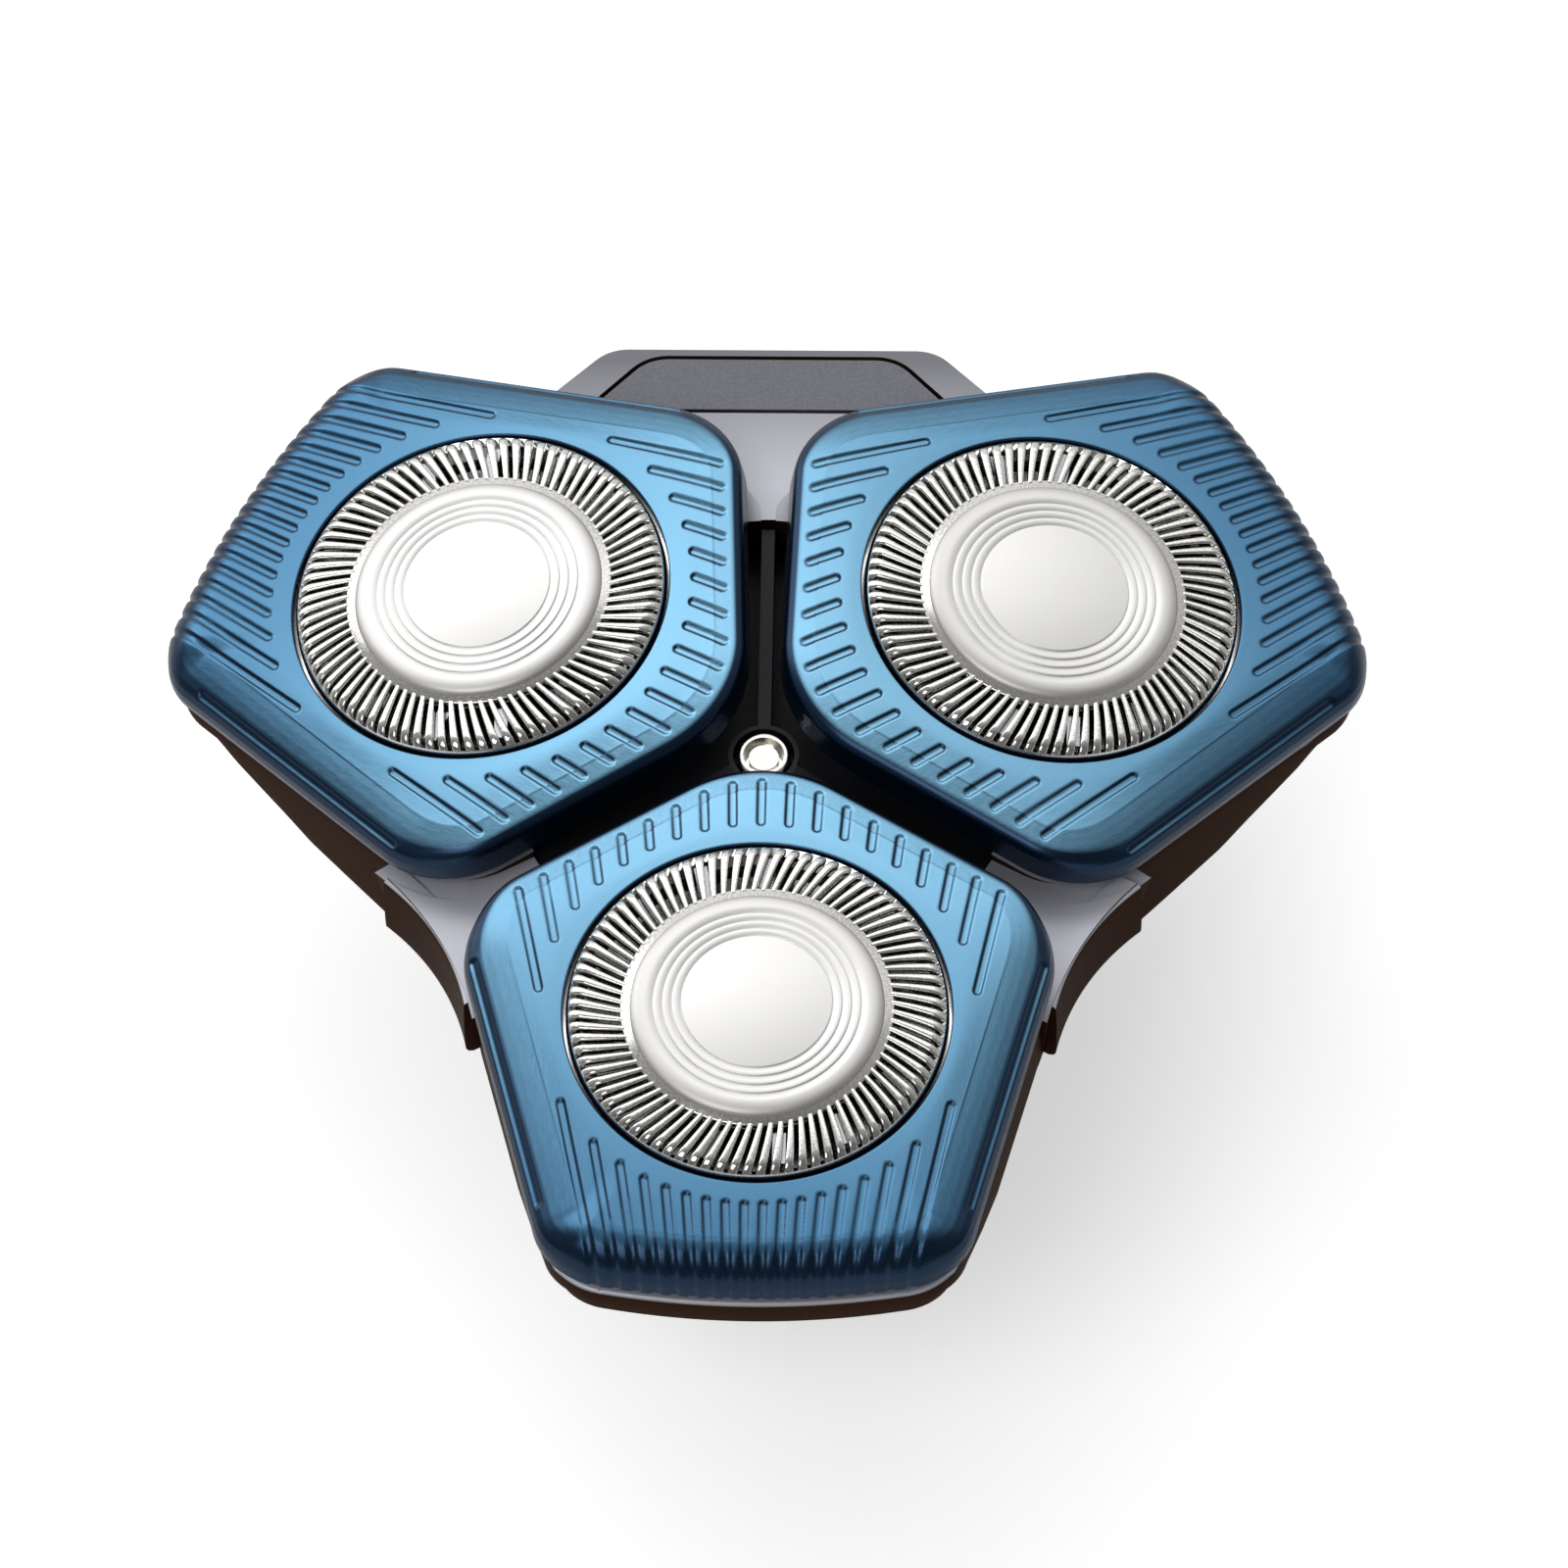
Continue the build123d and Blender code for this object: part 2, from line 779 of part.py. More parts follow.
def holder_frame():
    """Moulded frame: ledges under the caps, two saddles, the chin and a thin outer wall."""
    with BuildPart() as frame:
        add(tapered_blocks(0, 0, ledge_inset))
        add(chin_block(0, chin_inner_z))
        add(above_chin(), mode=Mode.SUBTRACT)
        for face in heads.values():
            with BuildSketch(face.offset(-ledge_depth)):
                add(head_outline(cap_swing_gap))
            extrude(amount=ledge_depth, mode=Mode.SUBTRACT)
        with BuildPart(mode=Mode.PRIVATE) as hollow:
            add(tapered_blocks(frame_wall, frame_ledge, ledge_inset))
            add(chin_block(frame_wall, chin_floor_z))
            with BuildSketch(Plane.XY):
                add(plate_outline(pan_gap))
            extrude(amount=plate_top_z)
        add(hollow.part, mode=Mode.SUBTRACT)
        add(under_cone(0), mode=Mode.SUBTRACT)
        for face in heads.values():
            with BuildSketch(face):
                Circle(head_opening_r)
            extrude(amount=-2 * frame_depth, mode=Mode.SUBTRACT)
        with BuildSketch():
            add(deck_outline(0))
        extrude(amount=2 * face_height, mode=Mode.SUBTRACT)
        for azimuth in screw_azimuths:
            top_z = chin_floor_z + frame_ledge / 2 if azimuth == 90 else saddle_z - frame_ledge / 2
            with BuildSketch(outward_plane(azimuth, plate_top_z)):
                with Locations((frame_boss_radius, 0)):
                    Circle(frame_boss_r)
            extrude(amount=top_z - plate_top_z)
            with BuildSketch(outward_plane(azimuth, plate_top_z)):
                with Locations((frame_boss_radius, 0)):
                    Circle(cover_screw_r)
            extrude(amount=frame_screw_length - plate_thickness + seat_gap, mode=Mode.SUBTRACT)
        with BuildSketch(Plane.XY.offset(pocket_z)):
            add(button_outline(button_groove))
        extrude(amount=face_height - pocket_z, mode=Mode.SUBTRACT)
        with BuildSketch(Plane.XY.offset(pocket_z - button_coil_pocket)):
            with Locations((-button_coil_x, stem_y), (button_coil_x, stem_y)):
                Circle(button_coil_r + 2 * button_coil_wire_r)
        extrude(amount=button_coil_pocket, mode=Mode.SUBTRACT)
        with BuildSketch(Plane.XY.offset(chin_floor_z - 1)):
            with Locations((0, stem_y)):
                Rectangle(stem_width + 2 * button_groove, stem_thickness + 2 * button_groove)
        extrude(amount=face_height - chin_floor_z, mode=Mode.SUBTRACT)
        with BuildSketch(Plane.XY.offset(chin_floor_z - 1)):
            with Locations((0, catch_y)):
                Rectangle(catch_width + 2 * catch_pocket, catch_thickness + 2 * catch_pocket)
        extrude(amount=catch_top_z + catch_pocket - chin_floor_z + 1, mode=Mode.SUBTRACT)
    return frame


def release_button():
    """Chin panel that presses down, with a barbed stem that frees the lower shell's catch."""
    with BuildPart() as button:
        with BuildSketch(Plane.XY.offset(button_low_z)):
            add(button_outline(0))
        extrude(amount=face_height - button_low_z)
        add(above_chin(), mode=Mode.SUBTRACT)
        with BuildSketch(Plane.XY.offset(stem_end_z)):
            with Locations((0, stem_y)):
                Rectangle(stem_width, stem_thickness)
        extrude(amount=button_low_z - stem_end_z)
        with BuildSketch(Plane.XY.offset(stem_end_z)):
            with Locations((0, stem_y)):
                Rectangle(stem_width + 2 * barb_reach, stem_thickness)
        extrude(amount=barb_height)
    return button


def coil(feet, radius, wire_r, length, turns):
    """Coil springs standing on one or more points."""
    with BuildPart() as springs:
        for foot in feet:
            with BuildLine():
                start = (foot[0], foot[1], foot[2] + wire_r)
                rise = length - 2 * wire_r
                path = Helix(rise / turns, rise, radius, center=start)
            with BuildSketch(Plane(origin=path @ 0, z_dir=path % 0)):
                RegularPolygon(wire_r, 6)
            sweep(path=path, is_frenet=True)
    return springs


def centre_deck():
    """Dark Y-shaped deck between the heads, ribbed, with the sunk seat of the centre screw."""
    ribs = (
        (90, chin_inner_y - 3 * deck_gap, rib_top_z),
        (210, saddle_inner_r - 3 * deck_gap, saddle_z),
        (330, saddle_inner_r - 3 * deck_gap, saddle_z),
    )
    with BuildPart() as deck:
        with BuildSketch(Plane.XY.offset(deck_low_z)):
            add(deck_outline(deck_gap))
        extrude(amount=deck_thickness)
        for face in heads.values():
            with BuildSketch(face):
                Circle(head_opening_r)
            extrude(amount=-frame_depth, mode=Mode.SUBTRACT)
        for azimuth, reach, end_z in ribs:
            turned = outward_plane(azimuth, 0)
            with BuildSketch(Plane(origin=(0, 0, 0), x_dir=turned.x_dir, z_dir=-turned.y_dir)):
                with BuildLine():
                    Polyline(
                        (0, deck_low_z),
                        (reach, deck_low_z),
                        (reach, end_z),
                        (hub_boss_r, rib_top_z),
                        (0, rib_top_z),
                        close=True,
                    )
                make_face()
            extrude(amount=rib_width / 2, both=True)
        with BuildSketch(Plane.XY.offset(deck_low_z)):
            Circle(hub_boss_r)
        extrude(amount=rib_top_z - deck_low_z)
        with BuildSketch(Plane.XY.offset(sink_z)):
            Circle(sink_r)
        extrude(amount=screw_head_height, mode=Mode.SUBTRACT)
        with BuildSketch(Plane.XY.offset(deck_low_z)):
            Circle(screw_shank_r + seat_gap)
        extrude(amount=rib_top_z - deck_low_z, mode=Mode.SUBTRACT)
    return deck


def centre_screw():
    """Screw with a rounded head, a deep round recess and a pin in the recess."""
    with BuildPart() as screw:
        with BuildSketch(Plane.XY.offset(sink_z)):
            Circle(screw_head_r)
        extrude(amount=screw_head_height)
        fillet(screw.edges().filter_by(GeomType.CIRCLE).sort_by(Axis.Z)[-1], screw_head_round)
        with BuildSketch(Plane.XY.offset(rib_top_z - screw_recess_depth)):
            Circle(screw_recess_r)
        extrude(amount=screw_recess_depth, mode=Mode.SUBTRACT)
        with BuildSketch(Plane.XY.offset(rib_top_z - screw_recess_depth)):
            Circle(screw_pin_r)
        extrude(amount=screw_pin_height)
        with BuildSketch(Plane.XY.offset(plate_z + 2 * seat_gap)):
            Circle(screw_shank_r)
        extrude(amount=sink_z - plate_z - 2 * seat_gap)
    return screw


def support_plate():
    """Plate under the heads: wide head openings, gimbal posts and the centre screw's boss."""
    post_top = -pivot_depth + post_width / 2
    post_start = gimbal_outer_r + pan_gap / 2
    with BuildPart() as plate:
        with BuildSketch(Plane.XY.offset(plate_z)):
            add(plate_outline(0))
            for name in heads:
                with Locations(spot(name, 0)):
                    Circle(gimbal_pass_r, mode=Mode.SUBTRACT)
        extrude(amount=plate_thickness)
        with BuildSketch(Plane.XY.offset(plate_z)):
            Circle(hub_boss_r)
        extrude(amount=deck_low_z - plate_z)
        with BuildSketch(Plane.XY.offset(plate_z)):
            Circle(screw_shank_r)
        extrude(amount=deck_low_z - plate_z, mode=Mode.SUBTRACT)
        for face in heads.values():
            for side in (1, -1):
                outward = face.y_dir * side
                across = Plane(origin=face.origin, x_dir=-face.x_dir * side, z_dir=outward)
                with BuildSketch(across.offset(post_start)):
                    with Locations((0, -frame_depth / 2)):
                        Rectangle(post_width, frame_depth)
                extrude(amount=post_thickness)
                with BuildSketch(across.offset(post_start)):
                    Rectangle(2 * post_width, -2 * post_top)
                extrude(amount=post_thickness, mode=Mode.SUBTRACT)
                with BuildSketch(across.offset(post_start)):
                    with Locations((0, -pivot_depth)):
                        Circle(gimbal_pin_r + running_gap)
                extrude(amount=post_thickness, mode=Mode.SUBTRACT)
        with BuildSketch(Plane.XY.offset(plate_z)):
            Circle(2 * head_radius)
        extrude(amount=-frame_depth, mode=Mode.SUBTRACT)
        for azimuth in screw_azimuths:
            with BuildSketch(outward_plane(azimuth, plate_z)):
                with Locations((frame_boss_radius, 0)):
                    Circle(cover_screw_r + running_gap)
            extrude(amount=plate_thickness, mode=Mode.SUBTRACT)
    return plate


def pan_screws(radius, seat_z, head_r, head_height, length, way):
    """Three pan-head screws, their heads above the seat for way 1 and below it for way -1."""
    with BuildPart() as screws:
        for azimuth in screw_azimuths:
            with BuildSketch(outward_plane(azimuth, seat_z)):
                with Locations((radius, 0)):
                    Circle(head_r)
            extrude(amount=way * head_height)
            with BuildSketch(outward_plane(azimuth, seat_z)):
                with Locations((radius, 0)):
                    Circle(cover_screw_r)
            extrude(amount=-way * length)
    return screws


def lower_shell():
    """One moulding: neck with its spigot, gear well and hair pan."""
    inner_r = neck_r - neck_wall
    groove_r = neck_r - groove_depth
    groove_top = spigot_length + groove_length
    far_z = face_height
    with BuildPart() as wall:
        with BuildSketch(Plane.XY.offset(well_floor_z)):
            add(well_outline(0))
        extrude(amount=far_z - well_floor_z)
        add(under_cone(pan_floor), mode=Mode.INTERSECT)
        with BuildSketch(Plane.XY.offset(well_floor_z)):
            add(well_outline(0))
        extrude(amount=cover_z + cover_thickness - well_floor_z)
    with BuildPart() as shell:
        add(tapered_blocks(frame_wall + pan_gap, frame_ledge, ledge_inset))
        add(chin_block(frame_wall + pan_gap, chin_floor_z))
        add(under_cone(pan_floor), mode=Mode.INTERSECT)
        add(under_cone(0), mode=Mode.SUBTRACT)
        with BuildSketch():
            add(well_outline(-well_wall / 2))
        extrude(amount=far_z, mode=Mode.SUBTRACT)
        add(wall.part)
        with BuildSketch(Plane.XY.offset(well_z)):
            add(well_outline(-well_wall))
        extrude(amount=far_z, mode=Mode.SUBTRACT)
        with BuildSketch(Plane.XZ):
            with BuildLine():
                Polyline(
                    (inner_r, 0),
                    (neck_r, 0),
                    (neck_r, spigot_length),
                    (groove_r, spigot_length),
                    (groove_r, groove_top),
                    (shoulder_r, groove_top),
                    (shoulder_r, well_z),
                    (inner_r, well_z),
                    close=True,
                )
            make_face()
        revolve(axis=Axis.Z)
        for azimuth in screw_azimuths:
            with BuildSketch(outward_plane(azimuth, well_z)):
                with Locations((cover_screw_radius, 0)):
                    Circle(cover_boss_r)
            extrude(amount=cover_z - well_z)
            with BuildSketch(outward_plane(azimuth, cover_z)):
                with Locations((cover_screw_radius, 0)):
                    Circle(cover_screw_r)
            extrude(amount=cover_thickness - cover_screw_length - seat_gap, mode=Mode.SUBTRACT)
        for name in heads:
            with BuildSketch(spot(name, well_z)):
                Circle(gear_journal_r + running_gap)
            extrude(amount=-gear_journal - running_gap, mode=Mode.SUBTRACT)
        with BuildSketch(Plane.XY.offset(well_floor_z)):
            Circle(journal_r + running_gap)
        extrude(amount=floor_thickness, mode=Mode.SUBTRACT)
        catch_foot = hull_z(catch_y) + pan_floor / 2
        with BuildSketch(Plane.XY.offset(catch_foot)):
            with Locations((0, catch_y)):
                Rectangle(catch_width, catch_thickness)
        extrude(amount=catch_top_z - catch_foot)
    return shell


def gear_cover():
    """Cover of the gear well and floor of the hair chamber, with the shafts' top bearings."""
    with BuildPart() as cover:
        with BuildSketch(Plane.XY.offset(cover_z)):
            add(well_outline(-well_wall - cover_gap))
            Circle(shaft_r + running_gap, mode=Mode.SUBTRACT)
            for name in heads:
                with Locations(spot(name, 0)):
                    Circle(tube_r + running_gap, mode=Mode.SUBTRACT)
            for azimuth in screw_azimuths:
                with Locations(outward_plane(azimuth, 0)):
                    with Locations((cover_screw_radius, 0)):
                        Circle(cover_screw_r + running_gap, mode=Mode.SUBTRACT)
        extrude(amount=cover_thickness)
    return cover


def centre_gear():
    """Large gear on the drive shaft."""
    with BuildPart() as gear:
        with BuildSketch(Plane.XY.offset(gear_z)):
            add(gear_outline(centre_teeth, 0))
            Circle(shaft_r, mode=Mode.SUBTRACT)
        extrude(amount=gear_face)
    return gear


def drive_coupling():
    """Drive shaft: keyed socket for the handle's pin, floor journal, gear seat, top journal."""
    with BuildPart() as shaft:
        with BuildSketch(Plane.XZ):
            with BuildLine():
                Polyline(
                    (0, coupling_low_z),
                    (coupling_r, coupling_low_z),
                    (coupling_r, coupling_top_z),
                    (journal_r, coupling_top_z),
                    (journal_r, gear_z),
                    (shaft_r, gear_z),
                    (shaft_r, shaft_top_z),
                    (0, shaft_top_z),
                    close=True,
                )
            make_face()
        revolve(axis=Axis.Z)
        with BuildSketch(Plane.XY.offset(coupling_low_z)):
            Circle(drive_bore_r)
            with PolarLocations(drive_key_reach / 2, 3):
                Rectangle(drive_key_reach, drive_key_width)
        extrude(amount=drive_bore_depth, mode=Mode.SUBTRACT)
    return shaft


def coupling_seal():
    """Soft ring that closes the shaft's way through the floor."""
    with BuildPart() as seal:
        with BuildSketch(Plane.XY.offset(coupling_top_z + running_gap)):
            Circle(seal_r)
            Circle(journal_r + running_gap, mode=Mode.SUBTRACT)
        extrude(amount=well_floor_z - coupling_top_z - running_gap)
    return seal


def mesh_phase(azimuth):
    """Angle of a driven gear's tooth that puts a gap on the centre gear's nearest tooth."""
    centre_step = 360 / centre_teeth
    driven_step = 360 / driven_teeth
    past_tooth = (azimuth / centre_step) % 1
    return azimuth + 180 + (past_tooth + 0.5) * driven_step


def driven_gear(name):
    """Driven gear with a hexagonal tube that turns the spindle and lets it sink."""
    centre = spot(name, gear_z).origin
    with BuildPart() as gear:
        with BuildSketch(Plane(origin=centre)):
            add(gear_outline(driven_teeth, mesh_phase(spindle_azimuth[name])))
        extrude(amount=gear_face)
        with BuildSketch(spot(name, gear_z)):
            Circle(tube_r)
        extrude(amount=tube_top_z - gear_z)
        with BuildSketch(spot(name, coil_foot_z)):
            RegularPolygon(collar_flats / 2 + running_gap, 6, major_radius=False)
        extrude(amount=tube_top_z - tube_lip - coil_foot_z, mode=Mode.SUBTRACT)
        with BuildSketch(spot(name, tube_top_z)):
            Circle(spindle_r + running_gap)
        extrude(amount=-tube_lip, mode=Mode.SUBTRACT)
        with BuildSketch(spot(name, well_z + running_gap)):
            Circle(gear_journal_r + 2 * pan_gap)
        extrude(amount=gear_z - well_z - running_gap)
        with BuildSketch(spot(name, well_z - gear_journal)):
            Circle(gear_journal_r)
        extrude(amount=gear_z - well_z + gear_journal)
    return gear


def spindle(name):
    """Spindle: hexagonal collar in the gear's tube, slim shank and a hexagonal tip."""
    with BuildPart() as pin:
        with BuildSketch(spot(name, collar_top_z - collar_height)):
            RegularPolygon(collar_flats / 2, 6, major_radius=False)
        extrude(amount=collar_height)
        with BuildSketch(spot(name, collar_top_z)):
            Circle(spindle_r)
        extrude(amount=tip_z - collar_top_z)
        with BuildSketch(spot(name, tip_z - tip_height / 2)):
            RegularPolygon(tip_flats / 2, 6, major_radius=False)
        extrude(amount=tip_height)
        chamfer(pin.faces().sort_by(Axis.Z)[-1].edges(), tip_chamfer)
    return pin


for name, face in heads.items():
    save(head_cap(face), f"{name}_cap")
    save(head_comb(face, swirl_way[name]), f"{name}_comb")
    save(head_trim(face), f"{name}_trim_disc")
    save(head_cutter(face), f"{name}_cutter")
    save(head_hub(face), f"{name}_cutter_hub")
    save(head_retainer(face), f"{name}_retainer")
    save(head_gimbal(face), f"{name}_gimbal_ring")
    save(driven_gear(name), f"{name}_driven_gear")
    save(spindle(name), f"{name}_spindle")
    foot = tuple(spot(name, coil_foot_z).origin)
    save(coil([foot], coil_r, coil_wire_r, coil_length, coil_turns), f"{name}_spindle_spring")

coil_floor_z = pocket_z - button_coil_pocket
button_feet = [(-button_coil_x, stem_y, coil_floor_z), (button_coil_x, stem_y, coil_floor_z)]
button_coil_length = button_low_z - coil_floor_z
save(
    coil(button_feet, button_coil_r, button_coil_wire_r, button_coil_length, button_coil_turns),
    "button_springs",
)
save(
    pan_screws(
        frame_boss_radius, plate_z, frame_screw_head_r, frame_screw_head, frame_screw_length, -1
    ),
    "support_screws",
)
save(
    pan_screws(
        cover_screw_radius,
        cover_z + cover_thickness,
        cover_screw_head_r,
        cover_screw_head,
        cover_screw_length,
        1,
    ),
    "cover_screws",
)
save(holder_frame(), "holder_frame")
save(centre_deck(), "centre_deck")
save(centre_screw(), "centre_screw")
save(support_plate(), "support_plate")
save(release_button(), "release_button")
save(lower_shell(), "lower_shell")
save(gear_cover(), "gear_cover")
save(centre_gear(), "centre_gear")
save(drive_coupling(), "drive_coupling")
save(coupling_seal(), "coupling_seal")
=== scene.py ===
import json
import math

import bpy
import numpy as np
from mathutils import Matrix, Vector


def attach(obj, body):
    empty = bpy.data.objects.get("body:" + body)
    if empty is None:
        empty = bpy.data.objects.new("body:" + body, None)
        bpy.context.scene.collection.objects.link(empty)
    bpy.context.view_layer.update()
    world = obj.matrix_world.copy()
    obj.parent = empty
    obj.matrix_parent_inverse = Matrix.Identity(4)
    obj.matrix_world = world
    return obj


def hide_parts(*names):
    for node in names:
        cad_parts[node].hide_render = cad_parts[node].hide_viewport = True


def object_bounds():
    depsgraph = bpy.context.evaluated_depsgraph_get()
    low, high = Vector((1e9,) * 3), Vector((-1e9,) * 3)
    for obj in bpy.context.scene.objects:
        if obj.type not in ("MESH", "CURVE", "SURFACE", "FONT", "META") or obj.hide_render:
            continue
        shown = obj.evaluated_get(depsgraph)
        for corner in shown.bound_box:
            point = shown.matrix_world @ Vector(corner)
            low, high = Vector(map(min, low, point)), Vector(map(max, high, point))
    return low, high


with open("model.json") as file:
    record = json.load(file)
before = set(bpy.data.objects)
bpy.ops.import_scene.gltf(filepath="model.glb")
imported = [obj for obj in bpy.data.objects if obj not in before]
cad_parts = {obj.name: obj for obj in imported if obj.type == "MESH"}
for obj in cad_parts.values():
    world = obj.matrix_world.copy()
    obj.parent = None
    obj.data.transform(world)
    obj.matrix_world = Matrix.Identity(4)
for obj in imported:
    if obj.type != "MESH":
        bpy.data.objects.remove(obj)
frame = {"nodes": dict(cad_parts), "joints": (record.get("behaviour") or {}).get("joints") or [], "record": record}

cad_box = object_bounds()
mm = 0.001
HEADS = ("front", "left", "right")

# Sizes are in millimetres and turns in degrees. In a head's own frame u points away from
# the middle of the shaver, v across and w out of the face, all from the ring's centre.
PIVOT_DEPTH = 5.8

# Caps: corners and rounds of the outline, height, wall, and the hole for the comb.
APEX_U = -16.7
SHOULDER = (-6.6, 16.4)
BASE = (14.7, 10.9)
BASE_BOW = 1.3
APEX_ROUND = 7.6
SHOULDER_ROUND = 5.5
BASE_ROUND = 4.2
CAP_HEIGHT = 2.5
CAP_TOP = 1.2
CAP_WALL = 1.7
HOLE_R = 10.3
HOLE_EDGE = 0.12

# Points on each round and on each straight run of half an outline.
BEND_POINTS = 90
RUN_POINTS = 118

# Rows and columns of a cap: its hole's rounded edge, its face, and its outer edge.
CAP_COLUMNS = 960
HOLE_ROWS = 5
FACE_ROWS = 46
EDGE_ROWS = 46
# Rows well inside the face, where the normals have to point up.
FACE_MIDDLE = slice(8, 40)

# The face falls by a smooth curve between these shares of the way from hole to outline.
# It is cut off where the edge section starts, and divided by the scale.
CROWN_FALL = (0.15, 1.35)
CROWN_SCALE = 0.87
# Turns of the outline over which the base's edge goes over to the flank's, and the
# flank's to the crest's.
TO_FLANK = (30, 68)
TO_CREST = (76, 147)

# Edges that turn by more than this many degrees stay crisp.
SHARP_ANGLE = 50

# Channels moulded into the caps: a fan of lanes from a point at FAN_U, which the hole
# breaks, and one channel along the rolled edge of each flank.
FAN_U = 57.0
FAN_STEP = 1.25
FAN_SPREAD = 0.0009
CHANNEL_HALF = 0.31
CHANNEL_WALL = 0.2
CHANNEL_DEPTH = 0.11
CHANNEL_RIM = 11.7
CHANNEL_MARGIN = 1.05
APEX_LANES = 9
BASE_LANES = 9
LANE_PAST_APEX = 4.0
LANE_PAST_BASE = 20.0
LANE_POINTS = 3000
ROLL_CHANNEL_INSET = 0.42
ROLL_CHANNEL_SPAN = (-3.3, 11.3)
ROLL_CHANNEL_HALF = 0.26

# Combs: the cup, the flange that holds it, the hub plate, and the slots with their swirl.
COMB_R = 10.15
COMB_RISE = 0.62
COMB_FALL = 0.07
COMB_ROUND = 0.9
COMB_PLATE = 0.4
COMB_FLANGE_R = 11.15
COMB_FLANGE_TOP = -1.22
COMB_FLANGE_LOW = -1.72
COMB_BORE_R = 2.12
CUP_COLUMNS = 336
CUP_OUTER_STEPS = 8
CUP_INNER_STEPS = 5
PLATE_COLUMNS = 168
PLATE_SINK = 0.02
PLATE_BEVEL = 0.06
SLOTS = 84
SLOT_INNER_R = 7.25
SLOT_END_TURN = 35.0
SLOT_WIDTH = 0.24
SWIRL = 14.0
SWIRL_R = 8.5
SWIRL_WAY = {"front": -1, "left": 1, "right": -1}

# Bars between the slots: they reach into the plate and the cup by their laps.
BAR_LAP = 0.12
BAR_END_TURN = SLOT_END_TURN - 6
BAR_FLAT_STEPS = 12
BAR_BEND_STEPS = 9
BAR_LEAST_HALF = 0.12
# A bar's rounded back: across in half widths, down in plate thicknesses.
BAR_SIDE = ((1.0, 0.85), (1.0, 0.3), (0.93, 0.13), (0.72, 0.035), (0.4, 0.005))
BAR_SECTION = (*((-x, y) for x, y in BAR_SIDE), (0.0, 0.0), *BAR_SIDE[::-1])

# Discs: a level middle, terraces with a soft lip, and a falling rim.
DISC_EYE_R = 0.01
DISC_R = 6.75
DISC_TOP = 1.15
DISC_SEAT = 0.56
DISC_COLUMNS = 192
DISC_CENTRE_R = 4.0
DISC_TERRACE = 0.5
DISC_TERRACES = 4
DISC_STEP = 0.05
TERRACE_LIP = (
    (-0.05, 0.0),
    (-0.02, 0.008),
    (0.0, DISC_STEP),
    (0.03, DISC_STEP + 0.03),
    (0.06, DISC_STEP),
)
DISC_RIM = ((6.0, 0.01), (6.3, 0.04), (6.5, 0.1), (6.65, 0.2), (DISC_R, 0.34))

# Outer wall of the holder under the caps and across the valleys between them, as the
# silhouette shows: it stands nearly upright and ends on a rising lower edge, given as
# the distance from the middle of the shaver and the height there.
LEDGE_INSET = 0.5
LEDGE_DEPTH = 4.0
OUTLINE_STRIDE = 3
WALL_END_TURN = 98
WALL_THICK = 1.3
WALL_LEAST = 1.2
WALL_BELLY = 0.05
WALL_STEPS = 8
WALL_EDGE = ((18.0, 12.6), (20.8, 13.0), (24.5, 13.7), (28.8, 15.7), (31.3, 17.5), (34.0, 18.8))
# Rounded top and foot of the wall: outward, share of the fall, and a little more down.
WALL_TOP = ((-WALL_THICK, 0.0, 0.0), (-0.2, 0.0, 0.0), (-0.06, 0.0, 0.06), (0.0, 0.0, 0.2))
WALL_FOOT = ((0.0, 1.0, -0.5), (-0.15, 1.0, -0.2), (-0.45, 1.0, 0.0), (-WALL_THICK, 1.0, 0.0))
# Valleys between the front head and its neighbours: azimuths, how far out the edge is
# and how it bows, half the width and what is drawn of it, and the heights.
VALLEYS = (210, 330)
VALLEY_R = 20.02
VALLEY_BOW = 0.9
VALLEY_HALF = 4.9
VALLEY_REACH = 4.5
VALLEY_POINTS = 40
VALLEY_TOP = 19.5
VALLEY_EDGE = 14.6

# Floor, lamps and camera, with lengths in metres.
FLOOR_HALF = 4.0
FLOOR_GAP = 0.0002
FLOOR_GLOW = 0.52
BOX_GLOW = 1.6
LAMP_AIM = Vector((0, 0, 0.02))
AZIMUTH, ELEVATION, ROLL = (math.radians(a) for a in (2.091, 56.343, -1.360))
DISTANCE = 0.900896
AIM_RIGHT, AIM_UP, AIM_Z = 0.00111, -0.002574, 0.024
FOCAL_PIXELS = 17209.16
FRAME_PIXELS = 1600
SENSOR_MM = 36
NEAREST_SEEN = 0.01


def linear(hex_colour):
    """Linear colour of an sRGB hex value."""
    channels = [int(hex_colour[i : i + 2], 16) / 255 for i in (1, 3, 5)]
    return (*[c / 12.92 if c <= 0.04045 else ((c + 0.055) / 1.055) ** 2.4 for c in channels], 1)


def add_node(tree, kind, settings=None, inputs=None):
    """Add a node, set its settings, and give its sockets a value or a link."""
    node = tree.nodes.new(kind)
    for name, value in (settings or {}).items():
        setattr(node, name, value)
    for socket, value in (inputs or {}).items():
        if isinstance(value, bpy.types.NodeSocket):
            tree.links.new(value, node.inputs[socket])
        else:
            node.inputs[socket].default_value = value
    return node


def start_material(name):
    """Empty material: its node tree and its shader."""
    material = bpy.data.materials.new(name)
    material.use_nodes = True
    tree = material.node_tree
    return material, tree, tree.nodes["Principled BSDF"]


